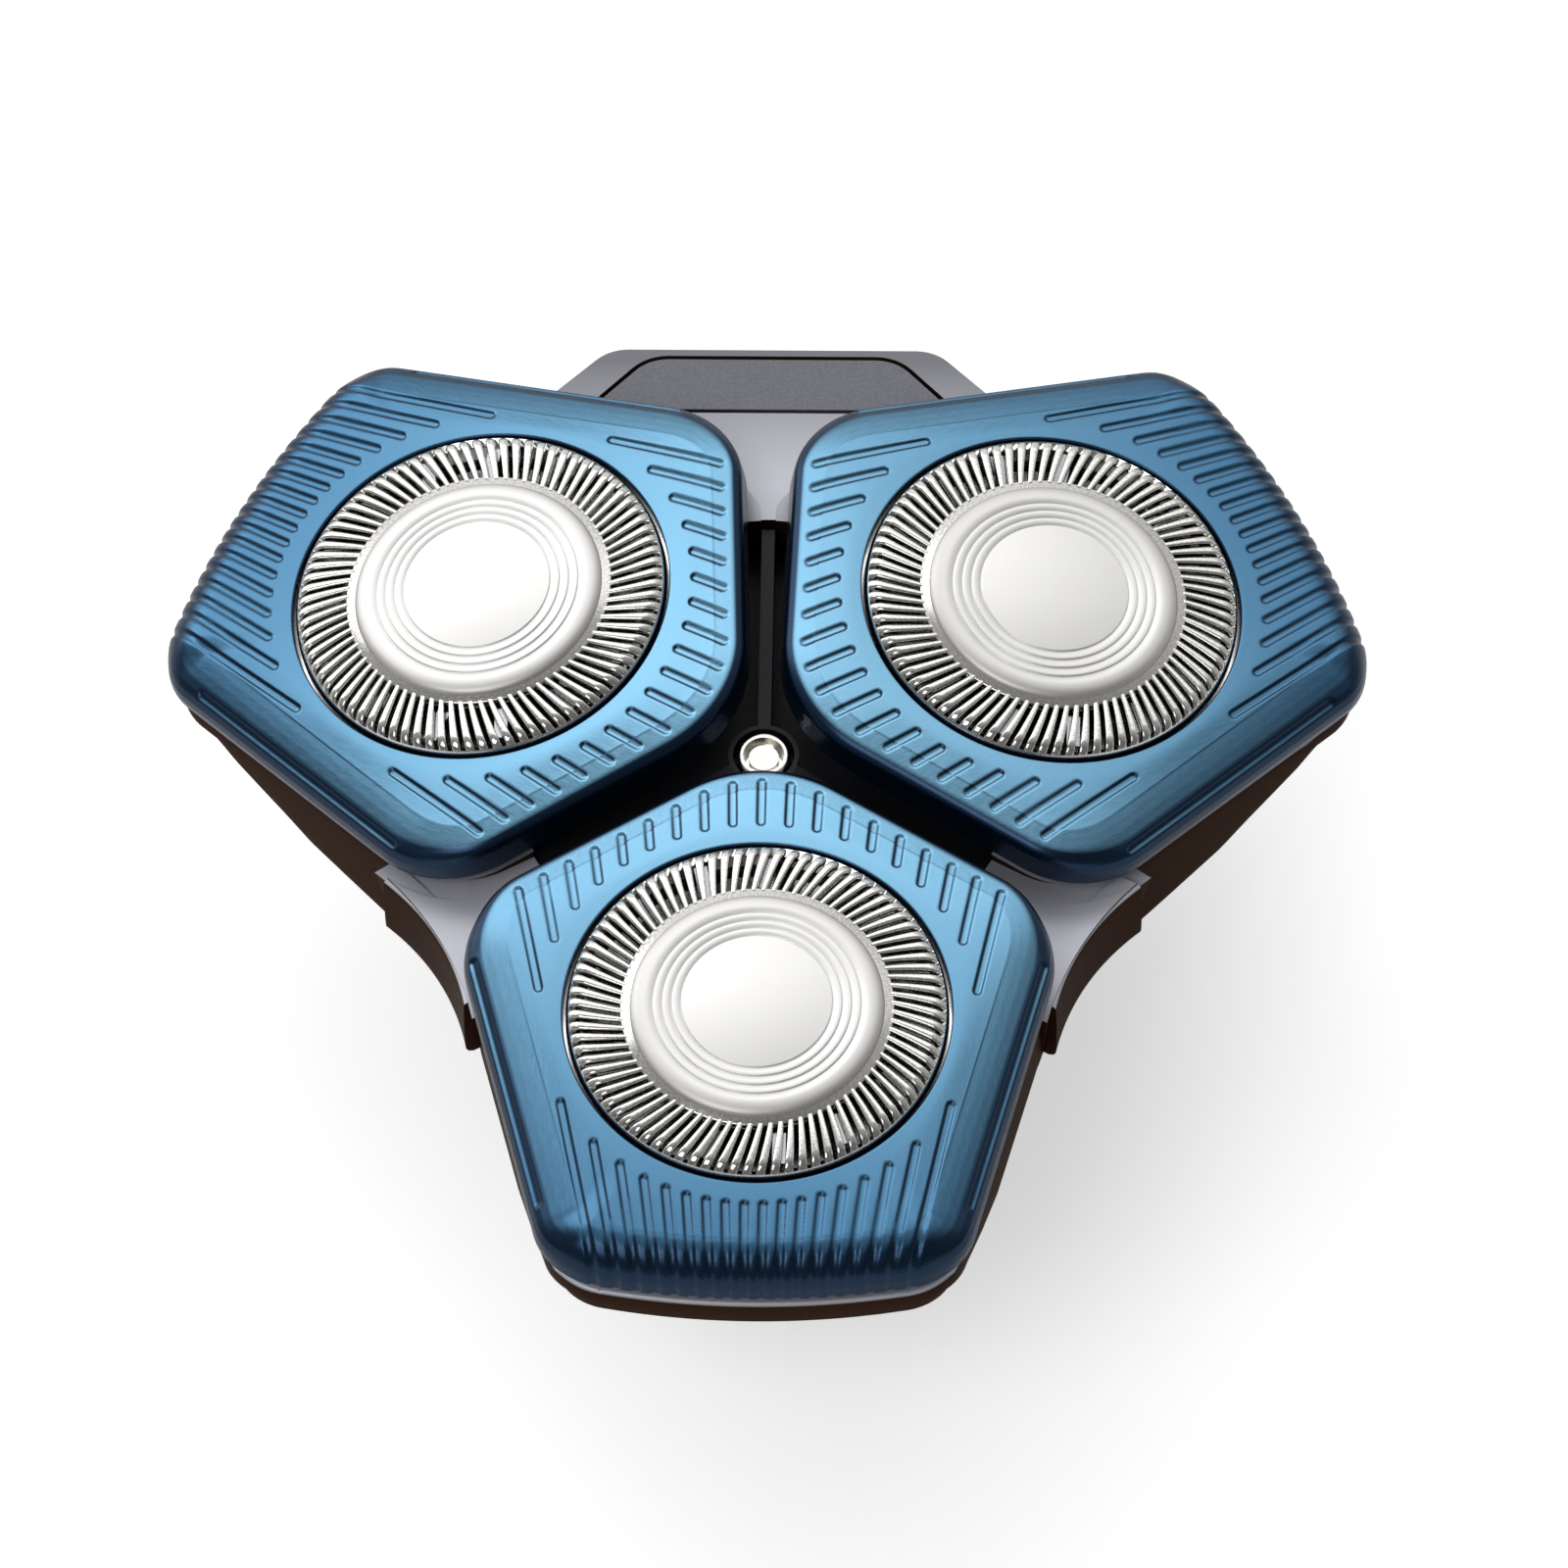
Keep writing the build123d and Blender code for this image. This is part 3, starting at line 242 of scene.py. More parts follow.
def grain(tree, shader, size_mm, stretch, height_mm, strength, roughness, spread):
    """Fine surface grain of a real size: a small bump and a play of roughness.

    The grain's own value comes back, for a tone that follows it.
    """
    place = add_node(tree, "ShaderNodeTexCoord")
    scale = add_node(
        tree,
        "ShaderNodeMapping",
        {"vector_type": "POINT"},
        {"Vector": place.outputs["Object"], "Scale": stretch},
    )
    noise = add_node(
        tree,
        "ShaderNodeTexNoise",
        {},
        {"Vector": scale.outputs["Vector"], "Scale": 1 / (size_mm * mm), "Detail": 3.0},
    )
    bump = add_node(
        tree,
        "ShaderNodeBump",
        {},
        {"Height": noise.outputs["Fac"], "Distance": height_mm * mm, "Strength": strength},
    )
    play = add_node(
        tree,
        "ShaderNodeMapRange",
        {},
        {
            "Value": noise.outputs["Fac"],
            "From Min": 0.3,
            "From Max": 0.7,
            "To Min": roughness - spread,
            "To Max": roughness + spread,
        },
    )
    tree.links.new(bump.outputs["Normal"], shader.inputs["Normal"])
    tree.links.new(play.outputs["Result"], shader.inputs["Roughness"])
    return noise.outputs["Fac"]


def two_tones(tree, factor, low, high, tone_a, tone_b):
    """Colour that goes from one tone to another with a factor; a tone may be a link."""
    share = add_node(
        tree,
        "ShaderNodeMapRange",
        {"interpolation_type": "SMOOTHSTEP"},
        {"Value": factor, "From Min": low, "From Max": high},
    )
    tones = {
        name: tone if isinstance(tone, bpy.types.NodeSocket) else linear(tone)
        for name, tone in (("A", tone_a), ("B", tone_b))
    }
    mix = add_node(
        tree,
        "ShaderNodeMix",
        {"data_type": "RGBA"},
        {"Factor": share.outputs["Result"], **tones},
    )
    return mix.outputs["Result"]


def moulded(name, colour, shade, size_mm, roughness, metallic=0.0):
    """Moulded plastic or turned metal with its fine grain and a slight play of tone."""
    material, tree, shader = start_material(name)
    shader.inputs["Metallic"].default_value = metallic
    mottle = grain(
        tree,
        shader,
        size_mm,
        stretch=(1, 1, 1),
        height_mm=0.01,
        strength=0.25,
        roughness=roughness,
        spread=0.05,
    )
    tone = two_tones(tree, mottle, 0.35, 0.65, shade, colour)
    tree.links.new(tone, shader.inputs["Base Color"])
    return material


def blue_cap_lacquer():
    """Metallic lacquer on moulded ABS, satin: steel blue, with painted shade that turns the walls navy.

    Painted light makes the face paler toward the middle of the shaver, and painted shade makes it
    deeper toward the base edge; the fine flow of the flakes along the cap is the lacquer's own.
    """
    material, tree, shader = start_material("metallic_lacquer_on_abs")
    shader.inputs["Metallic"].default_value = 0.85
    shader.inputs["Coat Weight"].default_value = 0.25
    shader.inputs["Coat Roughness"].default_value = 0.25
    flake = grain(
        tree,
        shader,
        size_mm=0.09,
        stretch=(0.12, 1, 1),
        height_mm=0.008,
        strength=0.35,
        roughness=0.3,
        spread=0.05,
    )
    own = add_node(tree, "ShaderNodeTexCoord")
    facing = add_node(tree, "ShaderNodeSeparateXYZ", {}, {"Vector": own.outputs["Normal"]})
    place = add_node(tree, "ShaderNodeSeparateXYZ", {}, {"Vector": own.outputs["Object"]})
    # Painted light and painted shade: a colour ramp along the cap, pale toward the middle of the shaver and dark
    # toward the base edge.
    along = add_node(
        tree,
        "ShaderNodeMapRange",
        {},
        {"Value": place.outputs["X"], "From Min": -14 * mm, "From Max": 15 * mm},
    )
    painted_light_ramp = add_node(tree, "ShaderNodeValToRGB", {}, {"Fac": along.outputs["Result"]})
    painted_light_ramp.color_ramp.elements.new(0.5)
    for element, tone in zip(painted_light_ramp.color_ramp.elements, ("#86bfe0", "#659abb", "#3f7298")):
        element.color = linear(tone)
    # Painted shade: faces that turn away from up take a navy tone in place of the blue.
    lacquer_with_painted_shade = two_tones(
        tree, facing.outputs["Z"], 0.86, 0.997, "#12304c", painted_light_ramp.outputs["Color"]
    )
    flake_tone = add_node(
        tree,
        "ShaderNodeMapRange",
        {},
        {"Value": flake, "From Min": 0.3, "From Max": 0.7, "To Min": 0.9, "To Max": 1.1},
    )
    flaked = add_node(
        tree,
        "ShaderNodeVectorMath",
        {"operation": "SCALE"},
        {"Vector": lacquer_with_painted_shade, "Scale": flake_tone.outputs["Result"]},
    )
    tree.links.new(flaked.outputs["Vector"], shader.inputs["Base Color"])
    return material


def comb_mirror_steel():
    """Polished stainless steel: a hard mirror that shows white boxes and black gaps."""
    material, tree, shader = start_material("polished_stainless_steel")
    shader.inputs["Metallic"].default_value = 1.0
    haze = grain(
        tree,
        shader,
        size_mm=0.15,
        stretch=(1, 1, 1),
        height_mm=0.004,
        strength=0.2,
        roughness=0.13,
        spread=0.03,
    )
    tone = two_tones(tree, haze, 0.3, 0.7, "#d6d4d0", "#f0eeea")
    tree.links.new(tone, shader.inputs["Base Color"])
    return material


def disc_turned_steel():
    """Stainless steel turned on a lathe: a white sheen over rings too fine to count, and painted shade toward the
    rim.
    """
    material, tree, shader = start_material("turned_stainless_steel")
    shader.inputs["Metallic"].default_value = 1.0
    shader.inputs["Roughness"].default_value = 0.5
    own = add_node(tree, "ShaderNodeTexCoord")
    flat = add_node(
        tree,
        "ShaderNodeVectorMath",
        {"operation": "MULTIPLY"},
        {0: own.outputs["Object"], 1: (1, 1, 0)},
    )
    radius = add_node(
        tree, "ShaderNodeVectorMath", {"operation": "LENGTH"}, {0: flat.outputs["Vector"]}
    )
    # Lathe marks are about 0.02 mm apart; drawn at 0.12 mm so that they show.
    turns = add_node(
        tree,
        "ShaderNodeMath",
        {"operation": "MULTIPLY"},
        {0: radius.outputs["Value"], 1: 2 * math.pi / (0.12 * mm)},
    )
    marks = add_node(tree, "ShaderNodeMath", {"operation": "SINE"}, {0: turns.outputs["Value"]})
    bump = add_node(
        tree,
        "ShaderNodeBump",
        {},
        {"Height": marks.outputs["Value"], "Distance": 0.002 * mm, "Strength": 0.15},
    )
    tree.links.new(bump.outputs["Normal"], shader.inputs["Normal"])
    # Painted shade: the steel darkens toward its falling rim.
    tone = two_tones(
        tree, radius.outputs["Value"], 5.6 * mm, 6.8 * mm, "#fbfaf8", "#dcdad8"
    )
    tree.links.new(tone, shader.inputs["Base Color"])
    return material


def silver_frame_lacquer():
    """Silver lacquer on moulded ABS: pale lilac grey on top, with a painted reflection and painted shade
    that make the walls warm and dark.

    Painted shade takes the top to a mid grey toward the back; the sheen is on the faces that turn up.
    """
    material, tree, shader = start_material("silver_lacquer_on_abs")
    grain(
        tree,
        shader,
        size_mm=0.12,
        stretch=(1, 1, 1),
        height_mm=0.006,
        strength=0.3,
        roughness=0.42,
        spread=0.06,
    )
    world_side = add_node(tree, "ShaderNodeNewGeometry")
    facing = add_node(
        tree, "ShaderNodeSeparateXYZ", {}, {"Vector": world_side.outputs["Normal"]}
    )
    own = add_node(tree, "ShaderNodeTexCoord")
    place = add_node(tree, "ShaderNodeSeparateXYZ", {}, {"Vector": own.outputs["Object"]})
    # Painted shade: the top darkens to a mid grey toward the back.
    painted_shade_to_back = add_node(
        tree,
        "ShaderNodeMapRange",
        {},
        {"Value": place.outputs["Y"], "From Min": 17 * mm, "From Max": 26 * mm},
    )
    top_with_painted_shade = add_node(
        tree,
        "ShaderNodeMix",
        {"data_type": "RGBA"},
        {"Factor": painted_shade_to_back.outputs["Result"], "A": linear("#dedfe9"), "B": linear("#7f8087")},
    )
    # Painted reflection and painted shade: faces that turn away from up take a dark warm brown.
    wall, top = 0.2, 0.75
    tone = two_tones(
        tree, facing.outputs["Z"], wall, top, "#3a2416", top_with_painted_shade.outputs["Result"]
    )
    tree.links.new(tone, shader.inputs["Base Color"])
    for socket, low, high in (("Metallic", 0.0, 0.25), ("Specular IOR Level", 0.02, 0.5)):
        share = add_node(
            tree,
            "ShaderNodeMapRange",
            {},
            {
                "Value": facing.outputs["Z"],
                "From Min": wall,
                "From Max": top,
                "To Min": low,
                "To Max": high,
            },
        )
        tree.links.new(share.outputs["Result"], shader.inputs[socket])
    return material


blue_lacquer = blue_cap_lacquer()
comb_steel = comb_mirror_steel()
disc_steel = disc_turned_steel()
silver_lacquer = silver_frame_lacquer()
# The finish of each material slot. A moulded one gives its name, its two tones, the size
# of its grain in millimetres, and its roughness.
finishes = {
    "frame_silver": silver_lacquer,
    "cap_blue": blue_lacquer,
    "comb_steel": comb_steel,
    "trim_chrome": disc_steel,
    # ABS moulded black with a fine satin texture: near black with a blue tinge.
    "deck_black": moulded("black_abs", "#0d121b", "#070a10", 0.2, 0.55),
    # Polyamide with glass fibre, moulded: dull dark grey, slightly mottled.
    "inner_plastic": moulded("glass_filled_polyamide", "#3a3b3f", "#2b2c30", 0.25, 0.55),
    # Acetal, moulded: waxy off-white with a soft gloss.
    "gear_plastic": moulded("moulded_acetal", "#ecebe4", "#dfddd4", 0.4, 0.36),
    # ABS moulded dark grey, spark-eroded texture: matt with a warm cast.
    "shell_grey": moulded("spark_textured_abs", "#4b423b", "#3a322c", 0.18, 0.5),
    # Hardened and ground steel: cool grey, half bright.
    "blade_steel": moulded("ground_steel", "#b9bbbe", "#9da0a4", 0.08, 0.24, metallic=1.0),
    # Nickel-plated steel: bright with a warm grey tone.
    "screw_steel": moulded("nickel_plated_steel", "#dedcd6", "#c6c3bc", 0.1, 0.16, metallic=1.0),
    # Drawn spring steel: smooth grey wire.
    "spring_steel": moulded("drawn_spring_steel", "#a9abb0", "#8d9096", 0.06, 0.28, metallic=1.0),
    # Nitrile rubber: matt black.
    "seal_rubber": moulded("nitrile_rubber", "#1a1a1b", "#121213", 0.15, 0.7),
}
# ABS moulded mid grey, satin: the release button.
button_grey = moulded("satin_grey_abs", "#787981", "#6b6c74", 0.16, 0.42, metallic=0.3)


def head_matrix(name):
    """Place of one head: origin at its ring centre, x along u, y along v, z along w."""
    joints = {joint["name"]: joint for joint in frame["joints"]}
    u, v, w = (
        Vector(joints[f"{name}_{joint}"]["axis"]).normalized()
        for joint in ("head_roll", "gimbal_tilt", "cutter_spin")
    )
    centre = Vector(joints[f"{name}_head_roll"]["pos_m"]) + w * PIVOT_DEPTH * mm
    return Matrix.Translation(centre) @ Matrix((u, v, w)).transposed().to_4x4()


def new_piece(name, points_mm, faces, material, matrix, body, node):
    """Smooth mesh piece on a body, in place of a CAD node where one is named."""
    mesh = bpy.data.meshes.new(name)
    mesh.from_pydata((points_mm * mm).tolist(), [], faces)
    mesh.materials.append(material)
    mesh.update()
    mesh.shade_smooth()
    mesh.set_sharp_from_angle(angle=math.radians(SHARP_ANGLE))
    piece = bpy.data.objects.new(name, mesh)
    bpy.context.scene.collection.objects.link(piece)
    piece.matrix_world = matrix
    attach(piece, body)
    if node:
        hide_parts(node)


def loop_faces(rows, columns):
    """Quads of a closed ring of closed rows: each row joins the next, the last the first."""
    row = np.arange(rows)[:, None]
    column = np.arange(columns)[None, :]
    next_row = (row + 1) % rows
    next_column = (column + 1) % columns
    quads = np.stack(
        [
            row * columns + column,
            row * columns + next_column,
            next_row * columns + next_column,
            next_row * columns + column,
        ],
        axis=-1,
    )
    return quads.reshape(-1, 4).tolist()


def arc(centre, radius, start, end, count):
    """Points on a circle between two angles in degrees."""
    turn = np.radians(np.linspace(start, end, count))
    return np.column_stack(
        (centre[0] + radius * np.cos(turn), centre[1] + radius * np.sin(turn))
    )


def cap_outline():
    """Half outline of a cap, from the middle of its base to its apex, with its turns."""
    base, shoulder = np.array(BASE), np.array(SHOULDER)
    apex = np.array((APEX_U, 0.0))
    bow_r = (base[1] ** 2 + BASE_BOW**2) / (2 * BASE_BOW)
    bow_centre = np.array((base[0] + BASE_BOW - bow_r, 0.0))
    flank = shoulder - base
    flank_normal = np.array((flank[1], -flank[0])) / np.hypot(*flank)
    crest = apex - shoulder
    crest_normal = np.array((crest[1], -crest[0])) / np.hypot(*crest)
    flank_turn = math.degrees(math.atan2(flank_normal[1], flank_normal[0]))
    crest_turn = math.degrees(math.atan2(crest_normal[1], crest_normal[0]))
    reach = flank_normal @ base - BASE_ROUND - flank_normal @ bow_centre
    base_turn = flank_turn - math.degrees(math.acos(reach / (bow_r - BASE_ROUND)))
    corner = math.radians(base_turn)
    base_centre = bow_centre + (bow_r - BASE_ROUND) * np.array(
        (math.cos(corner), math.sin(corner))
    )
    shoulder_centre = shoulder - SHOULDER_ROUND * (flank_normal + crest_normal) / (
        1 + flank_normal @ crest_normal
    )
    mirror_normal = crest_normal * (1, -1)
    apex_centre = apex - APEX_ROUND * (crest_normal + mirror_normal) / (
        1 + crest_normal @ mirror_normal
    )
    half, turns = [], []
    for centre, radius, start, end in (
        (bow_centre, bow_r, 0, base_turn),
        (base_centre, BASE_ROUND, base_turn, flank_turn),
        (shoulder_centre, SHOULDER_ROUND, flank_turn, crest_turn),
        (apex_centre, APEX_ROUND, crest_turn, 180),
    ):
        bend = arc(centre, radius, start, end, BEND_POINTS)
        if half:
            half.append(np.linspace(half[-1][-1], bend[0], RUN_POINTS + 2)[1:-1])
            turns.append(np.full(RUN_POINTS, float(start)))
        half.append(bend)
        turns.append(np.linspace(start, end, BEND_POINTS))
    return np.vstack(half), np.concatenate(turns)


def resample(points, count):
    """Points spread evenly along a polyline."""
    points = np.array(points, float)
    steps = np.hypot(*np.diff(points, axis=0).T)
    along = np.concatenate(([0], np.cumsum(steps)))
    even = np.linspace(0, along[-1], count)
    return np.column_stack([np.interp(even, along, points[:, i]) for i in (0, 1)])


# Sections of a cap's edge: outward from the outline, down from the face. Their arcs are
# turned over about their own centre, because the depth counts down.
crest_edge = resample(
    [
        (-1.5, 0.2),
        (-1.1, 0.27),
        *((arc((-0.75, 1.1), 0.75, 78, 0, 12) * (1, -1)) + (0, 2.2)),
        (0.0, CAP_HEIGHT),
    ],
    EDGE_ROWS,
)
flank_edge = resample(
    [
        (-2.3, 0.2),
        (-1.9, 0.3),
        (-1.4, 0.45),
        (-0.9, 0.63),
        (-0.4, 0.88),
        (-0.15, 1.1),
        (0.05, 1.5),
        (0.12, 2.0),
        (0.08, CAP_HEIGHT),
    ],
    EDGE_ROWS,
)
base_edge = resample(
    [*((arc((-2.3, 2.3), 2.25, 90, 5, 16) * (1, -1)) + (0, 4.6)), (0.0, CAP_HEIGHT)], EDGE_ROWS
)


def smooth_step(value, low, high):
    """Smooth rise from 0 at low to 1 at high."""
    t = np.clip((value - low) / (high - low), 0, 1)
    return t * t * (3 - 2 * t)


def channel_lines(outline):
    """Centre lines of the channels: start, end and half width."""
    lines = []
    for lane in range(-APEX_LANES, APEX_LANES + 1):
        turn = math.radians(abs(lane) * FAN_STEP)
        run = np.linspace(FAN_U, FAN_U - APEX_U + LANE_PAST_APEX, LANE_POINTS)
        path = np.column_stack((FAN_U - run * math.cos(turn), run * math.sin(turn)))
        path = path[path[:, 0] < 0]
        apart = path[:, None, :] - outline[None, :, :]
        gap = np.min(np.hypot(*apart.transpose(2, 0, 1)), axis=1)
        inside = np.hypot(*path.T) < np.interp(
            np.abs(np.arctan2(path[:, 1], path[:, 0])),
            np.abs(np.arctan2(outline[:, 1], outline[:, 0])),
            np.hypot(*outline.T),
        )
        kept = path[inside & (gap > CHANNEL_MARGIN) & (np.hypot(*path.T) > CHANNEL_RIM)]
        flip = np.array((1, -1 if lane < 0 else 1))
        lines.append((kept[0] * flip, kept[-1] * flip, CHANNEL_HALF))
    for lane in range(-BASE_LANES, BASE_LANES):
        order = lane + 0.5
        turn = math.radians(order * FAN_STEP * (1 + FAN_SPREAD * order * order))
        run = np.linspace(FAN_U - LANE_PAST_BASE, FAN_U, LANE_POINTS)
        path = np.column_stack((FAN_U - run * math.cos(turn), run * math.sin(turn)))
        kept = path[np.hypot(*path.T) > CHANNEL_RIM]
        lines.append((kept[0], kept[-1], CHANNEL_HALF))
    for side in (-1, 1):
        flip = np.array((1, side))
        flank = np.array(BASE) - np.array(SHOULDER)
        flank /= np.hypot(*flank)
        inward = np.array((flank[1], -flank[0]))
        first, last = (
            np.array(SHOULDER) + flank * (u - SHOULDER[0]) / flank[0] for u in ROLL_CHANNEL_SPAN
        )
        shift = inward * ROLL_CHANNEL_INSET
        lines.append(((first + shift) * flip, (last + shift) * flip, ROLL_CHANNEL_HALF))
    return lines


def channel_depth(u, v, lines):
    """Depth of the channels under each point of a cap."""
    depth = np.zeros_like(u)
    for start, end, half in lines:
        run = end - start
        share = ((u - start[0]) * run[0] + (v - start[1]) * run[1]) / (run @ run)
        share = np.clip(share, 0, 1)
        away = np.hypot(u - start[0] - share * run[0], v - start[1] - share * run[1])
        depth = np.maximum(depth, 1 - smooth_step(away, half - CHANNEL_WALL, half))
    return depth * CHANNEL_DEPTH


def cap_mesh():
    """Points and faces of one cap in its head's frame."""
    half, turns = cap_outline()
    angle = np.linspace(-math.pi, math.pi, CAP_COLUMNS, endpoint=False)
    fold = np.abs(angle)
    side = np.where(angle < 0, -1.0, 1.0)
    half_angle = np.arctan2(half[:, 1], half[:, 0])
    radius = np.interp(fold, half_angle, np.hypot(*half.T))
    turn = np.interp(fold, half_angle, turns)
    normal = np.column_stack((np.cos(np.radians(turn)), np.sin(np.radians(turn)) * side))
    rim = np.column_stack((radius * np.cos(angle), radius * np.sin(angle)))
    to_flank = smooth_step(turn, *TO_FLANK)[:, None, None]
    to_crest = smooth_step(turn, *TO_CREST)[:, None, None]
    edge = base_edge[None] * (1 - to_flank) + flank_edge[None] * to_flank
    edge = edge * (1 - to_crest) + crest_edge[None] * to_crest
    hole = np.column_stack((np.cos(angle), np.sin(angle)))

    def level(height):
        return np.full(CAP_COLUMNS, height)

    rows = [np.column_stack((hole * HOLE_R, level(-CAP_TOP)))]
    for step in np.radians(np.linspace(0, 90, HOLE_ROWS)):
        ring = HOLE_R + HOLE_EDGE * (1 - math.cos(step))
        rows.append(np.column_stack((hole * ring, level(-HOLE_EDGE * (1 - math.sin(step))))))
    start = rim + normal * edge[:, 0, 0:1]
    first = hole * (HOLE_R + HOLE_EDGE)
    for share in np.linspace(0, 1, FACE_ROWS + 1)[1:-1]:
        fall = edge[:, 0, 1] * smooth_step(share, *CROWN_FALL) / CROWN_SCALE
        rows.append(np.column_stack((first * (1 - share) + start * share, -fall)))
    for index in range(EDGE_ROWS):
        place = rim + normal * edge[:, index, 0:1]
        rows.append(np.column_stack((place, -edge[:, index, 1])))
    top = np.array(rows)

    # Channels sink along the surface's normal, but not into the hole's own edge.
    grid_u = np.gradient(top, axis=0)
    grid_v = np.roll(top, -1, axis=1) - np.roll(top, 1, axis=1)
    across = np.cross(grid_v, grid_u)
    across /= np.maximum(np.linalg.norm(across, axis=2, keepdims=True), 1e-9)
    across *= np.sign(np.mean(across[FACE_MIDDLE, :, 2]))
    depth = channel_depth(top[..., 0], top[..., 1], channel_lines(half))
    depth[: HOLE_ROWS + 1] = 0
    top = top - across * depth[..., None]

    inner = rim - normal * CAP_WALL
    under = [
        np.column_stack((inner, level(-CAP_HEIGHT))),
        np.column_stack((inner, level(-CAP_TOP))),
    ]
    points = np.vstack((top.reshape(-1, 3), *under))
    return points, loop_faces(len(top) + 2, CAP_COLUMNS)


def lathe(profile, columns):
    """Ring turned from a closed section of (radius, height) points."""
    turn = np.linspace(0, 2 * math.pi, columns, endpoint=False)
    rows = [
        np.column_stack((r * np.cos(turn), r * np.sin(turn), np.full(columns, w)))
        for r, w in profile
    ]
    return np.vstack(rows), loop_faces(len(profile), columns)


def comb_mesh(way):
    """Points and faces of one comb: a hub plate, curved bars and an outer cup."""
    low = COMB_RISE - COMB_FALL - COMB_PLATE
    turn_r = COMB_R - COMB_ROUND
    turn_w = COMB_RISE - COMB_FALL - COMB_ROUND
    inner_round = COMB_ROUND - COMB_PLATE
    cup = [
        *arc((turn_r, turn_w), COMB_ROUND, SLOT_END_TURN, 0, CUP_OUTER_STEPS),
        (COMB_R, COMB_FLANGE_TOP),
        (COMB_FLANGE_R, COMB_FLANGE_TOP),
        (COMB_FLANGE_R, COMB_FLANGE_LOW),
        (COMB_R - COMB_PLATE, COMB_FLANGE_LOW),
        *arc((turn_r, turn_w), inner_round, 0, SLOT_END_TURN, CUP_INNER_STEPS),
    ]
    plate = [
        (COMB_BORE_R, COMB_RISE - PLATE_SINK),
        (SLOT_INNER_R - PLATE_BEVEL, COMB_RISE - PLATE_SINK),
        (SLOT_INNER_R, COMB_RISE - PLATE_SINK - PLATE_BEVEL),
        (SLOT_INNER_R, low),
        (COMB_BORE_R, low),
    ]
    points, faces = lathe(cup, CUP_COLUMNS)
    more, more_faces = lathe(plate, PLATE_COLUMNS)
    faces += [[i + len(points) for i in face] for face in more_faces]
    points = np.vstack((points, more))

    flat_r = np.linspace(SLOT_INNER_R - BAR_LAP, turn_r, BAR_FLAT_STEPS)
    flat_w = COMB_RISE - COMB_FALL * ((flat_r - SLOT_INNER_R) / (turn_r - SLOT_INNER_R)) ** 2
    bend = arc((turn_r, turn_w), COMB_ROUND, 90, BAR_END_TURN, BAR_BEND_STEPS)[1:]
    path = np.vstack((np.column_stack((flat_r, flat_w)), bend))
    bend_lean = np.radians(np.linspace(90, BAR_END_TURN, BAR_BEND_STEPS)[1:] - 90)
    lean = np.concatenate((np.zeros(BAR_FLAT_STEPS), bend_lean))
    section = np.array(BAR_SECTION)
    half = np.maximum((2 * math.pi * path[:, 0] / SLOTS - SLOT_WIDTH) / 2, BAR_LEAST_HALF)
    offset = way * math.tan(math.radians(SWIRL)) * np.log(path[:, 0] / SWIRL_R)
    count = len(section)
    steps = len(path)
    sink = section[:, 1] * COMB_PLATE
    for bar in range(SLOTS):
        middle = 2 * math.pi * bar / SLOTS + offset
        base = len(points)
        rings = []
        for step, (r, w) in enumerate(path):
            ring_r = r + math.sin(lean[step]) * sink
            ring_w = w - math.cos(lean[step]) * sink
            turn = middle[step] + section[:, 0] * half[step] / r
            rings.append(np.column_stack((ring_r * np.cos(turn), ring_r * np.sin(turn), ring_w)))
        points = np.vstack((points, *rings))
        for step in range(steps - 1):
            for side in range(count):
                nxt = (side + 1) % count
                faces.append(
                    [
                        base + step * count + side,
                        base + step * count + nxt,
                        base + (step + 1) * count + nxt,
                        base + (step + 1) * count + side,
                    ]
                )
        faces.append([base + side for side in range(count)])
        last = base + (steps - 1) * count
        faces.append([last + side for side in reversed(range(count))])
    return points, faces


def disc_mesh():
    """Points and faces of one disc: a level middle, four terraces and a falling rim."""
    profile = [(DISC_EYE_R, DISC_TOP)]
    height = DISC_TOP
    for step in range(DISC_TERRACES):
        edge = DISC_CENTRE_R + step * DISC_TERRACE
        profile += [(edge + out, height - fall) for out, fall in TERRACE_LIP]
        height -= DISC_STEP
    profile += [(r, height - fall) for r, fall in DISC_RIM]
    profile += [(DISC_R, DISC_SEAT), (COMB_BORE_R, DISC_SEAT), (DISC_EYE_R, DISC_SEAT)]
    return lathe(profile, DISC_COLUMNS)


def under_cap(matrix):
    """Top line of the wall under one cap, and its outward directions."""
    half, turns = cap_outline()
    kept = turns <= WALL_END_TURN
    half = half[kept][::OUTLINE_STRIDE]
    turns = np.radians(turns[kept][::OUTLINE_STRIDE])
    normal = np.column_stack((np.cos(turns), np.sin(turns)))
    half = half - normal * LEDGE_INSET
    path = np.vstack(((half * (1, -1))[:0:-1], half))
    out = np.vstack(((normal * (1, -1))[:0:-1], normal))
    turn = np.array(matrix.to_3x3())
    centre = np.array(matrix.translation) / mm
    return path @ turn[:, :2].T - LEDGE_DEPTH * turn[:, 2] + centre, out @ turn[:, :2].T


def across_valley(azimuth):
    """Top line of the wall across one valley, and its outward directions."""
    side = np.linspace(-VALLEY_REACH, VALLEY_REACH, VALLEY_POINTS)
    reach = VALLEY_R + VALLEY_BOW * (side / VALLEY_HALF) ** 2
    turn = math.radians(azimuth)
    ahead = np.array((math.cos(turn), math.sin(turn), 0))
    along = np.array((-math.sin(turn), math.cos(turn), 0))
    top = np.outer(reach, ahead) + np.outer(side, along) + (0, 0, VALLEY_TOP)
    return top, np.tile(ahead, (len(side), 1))


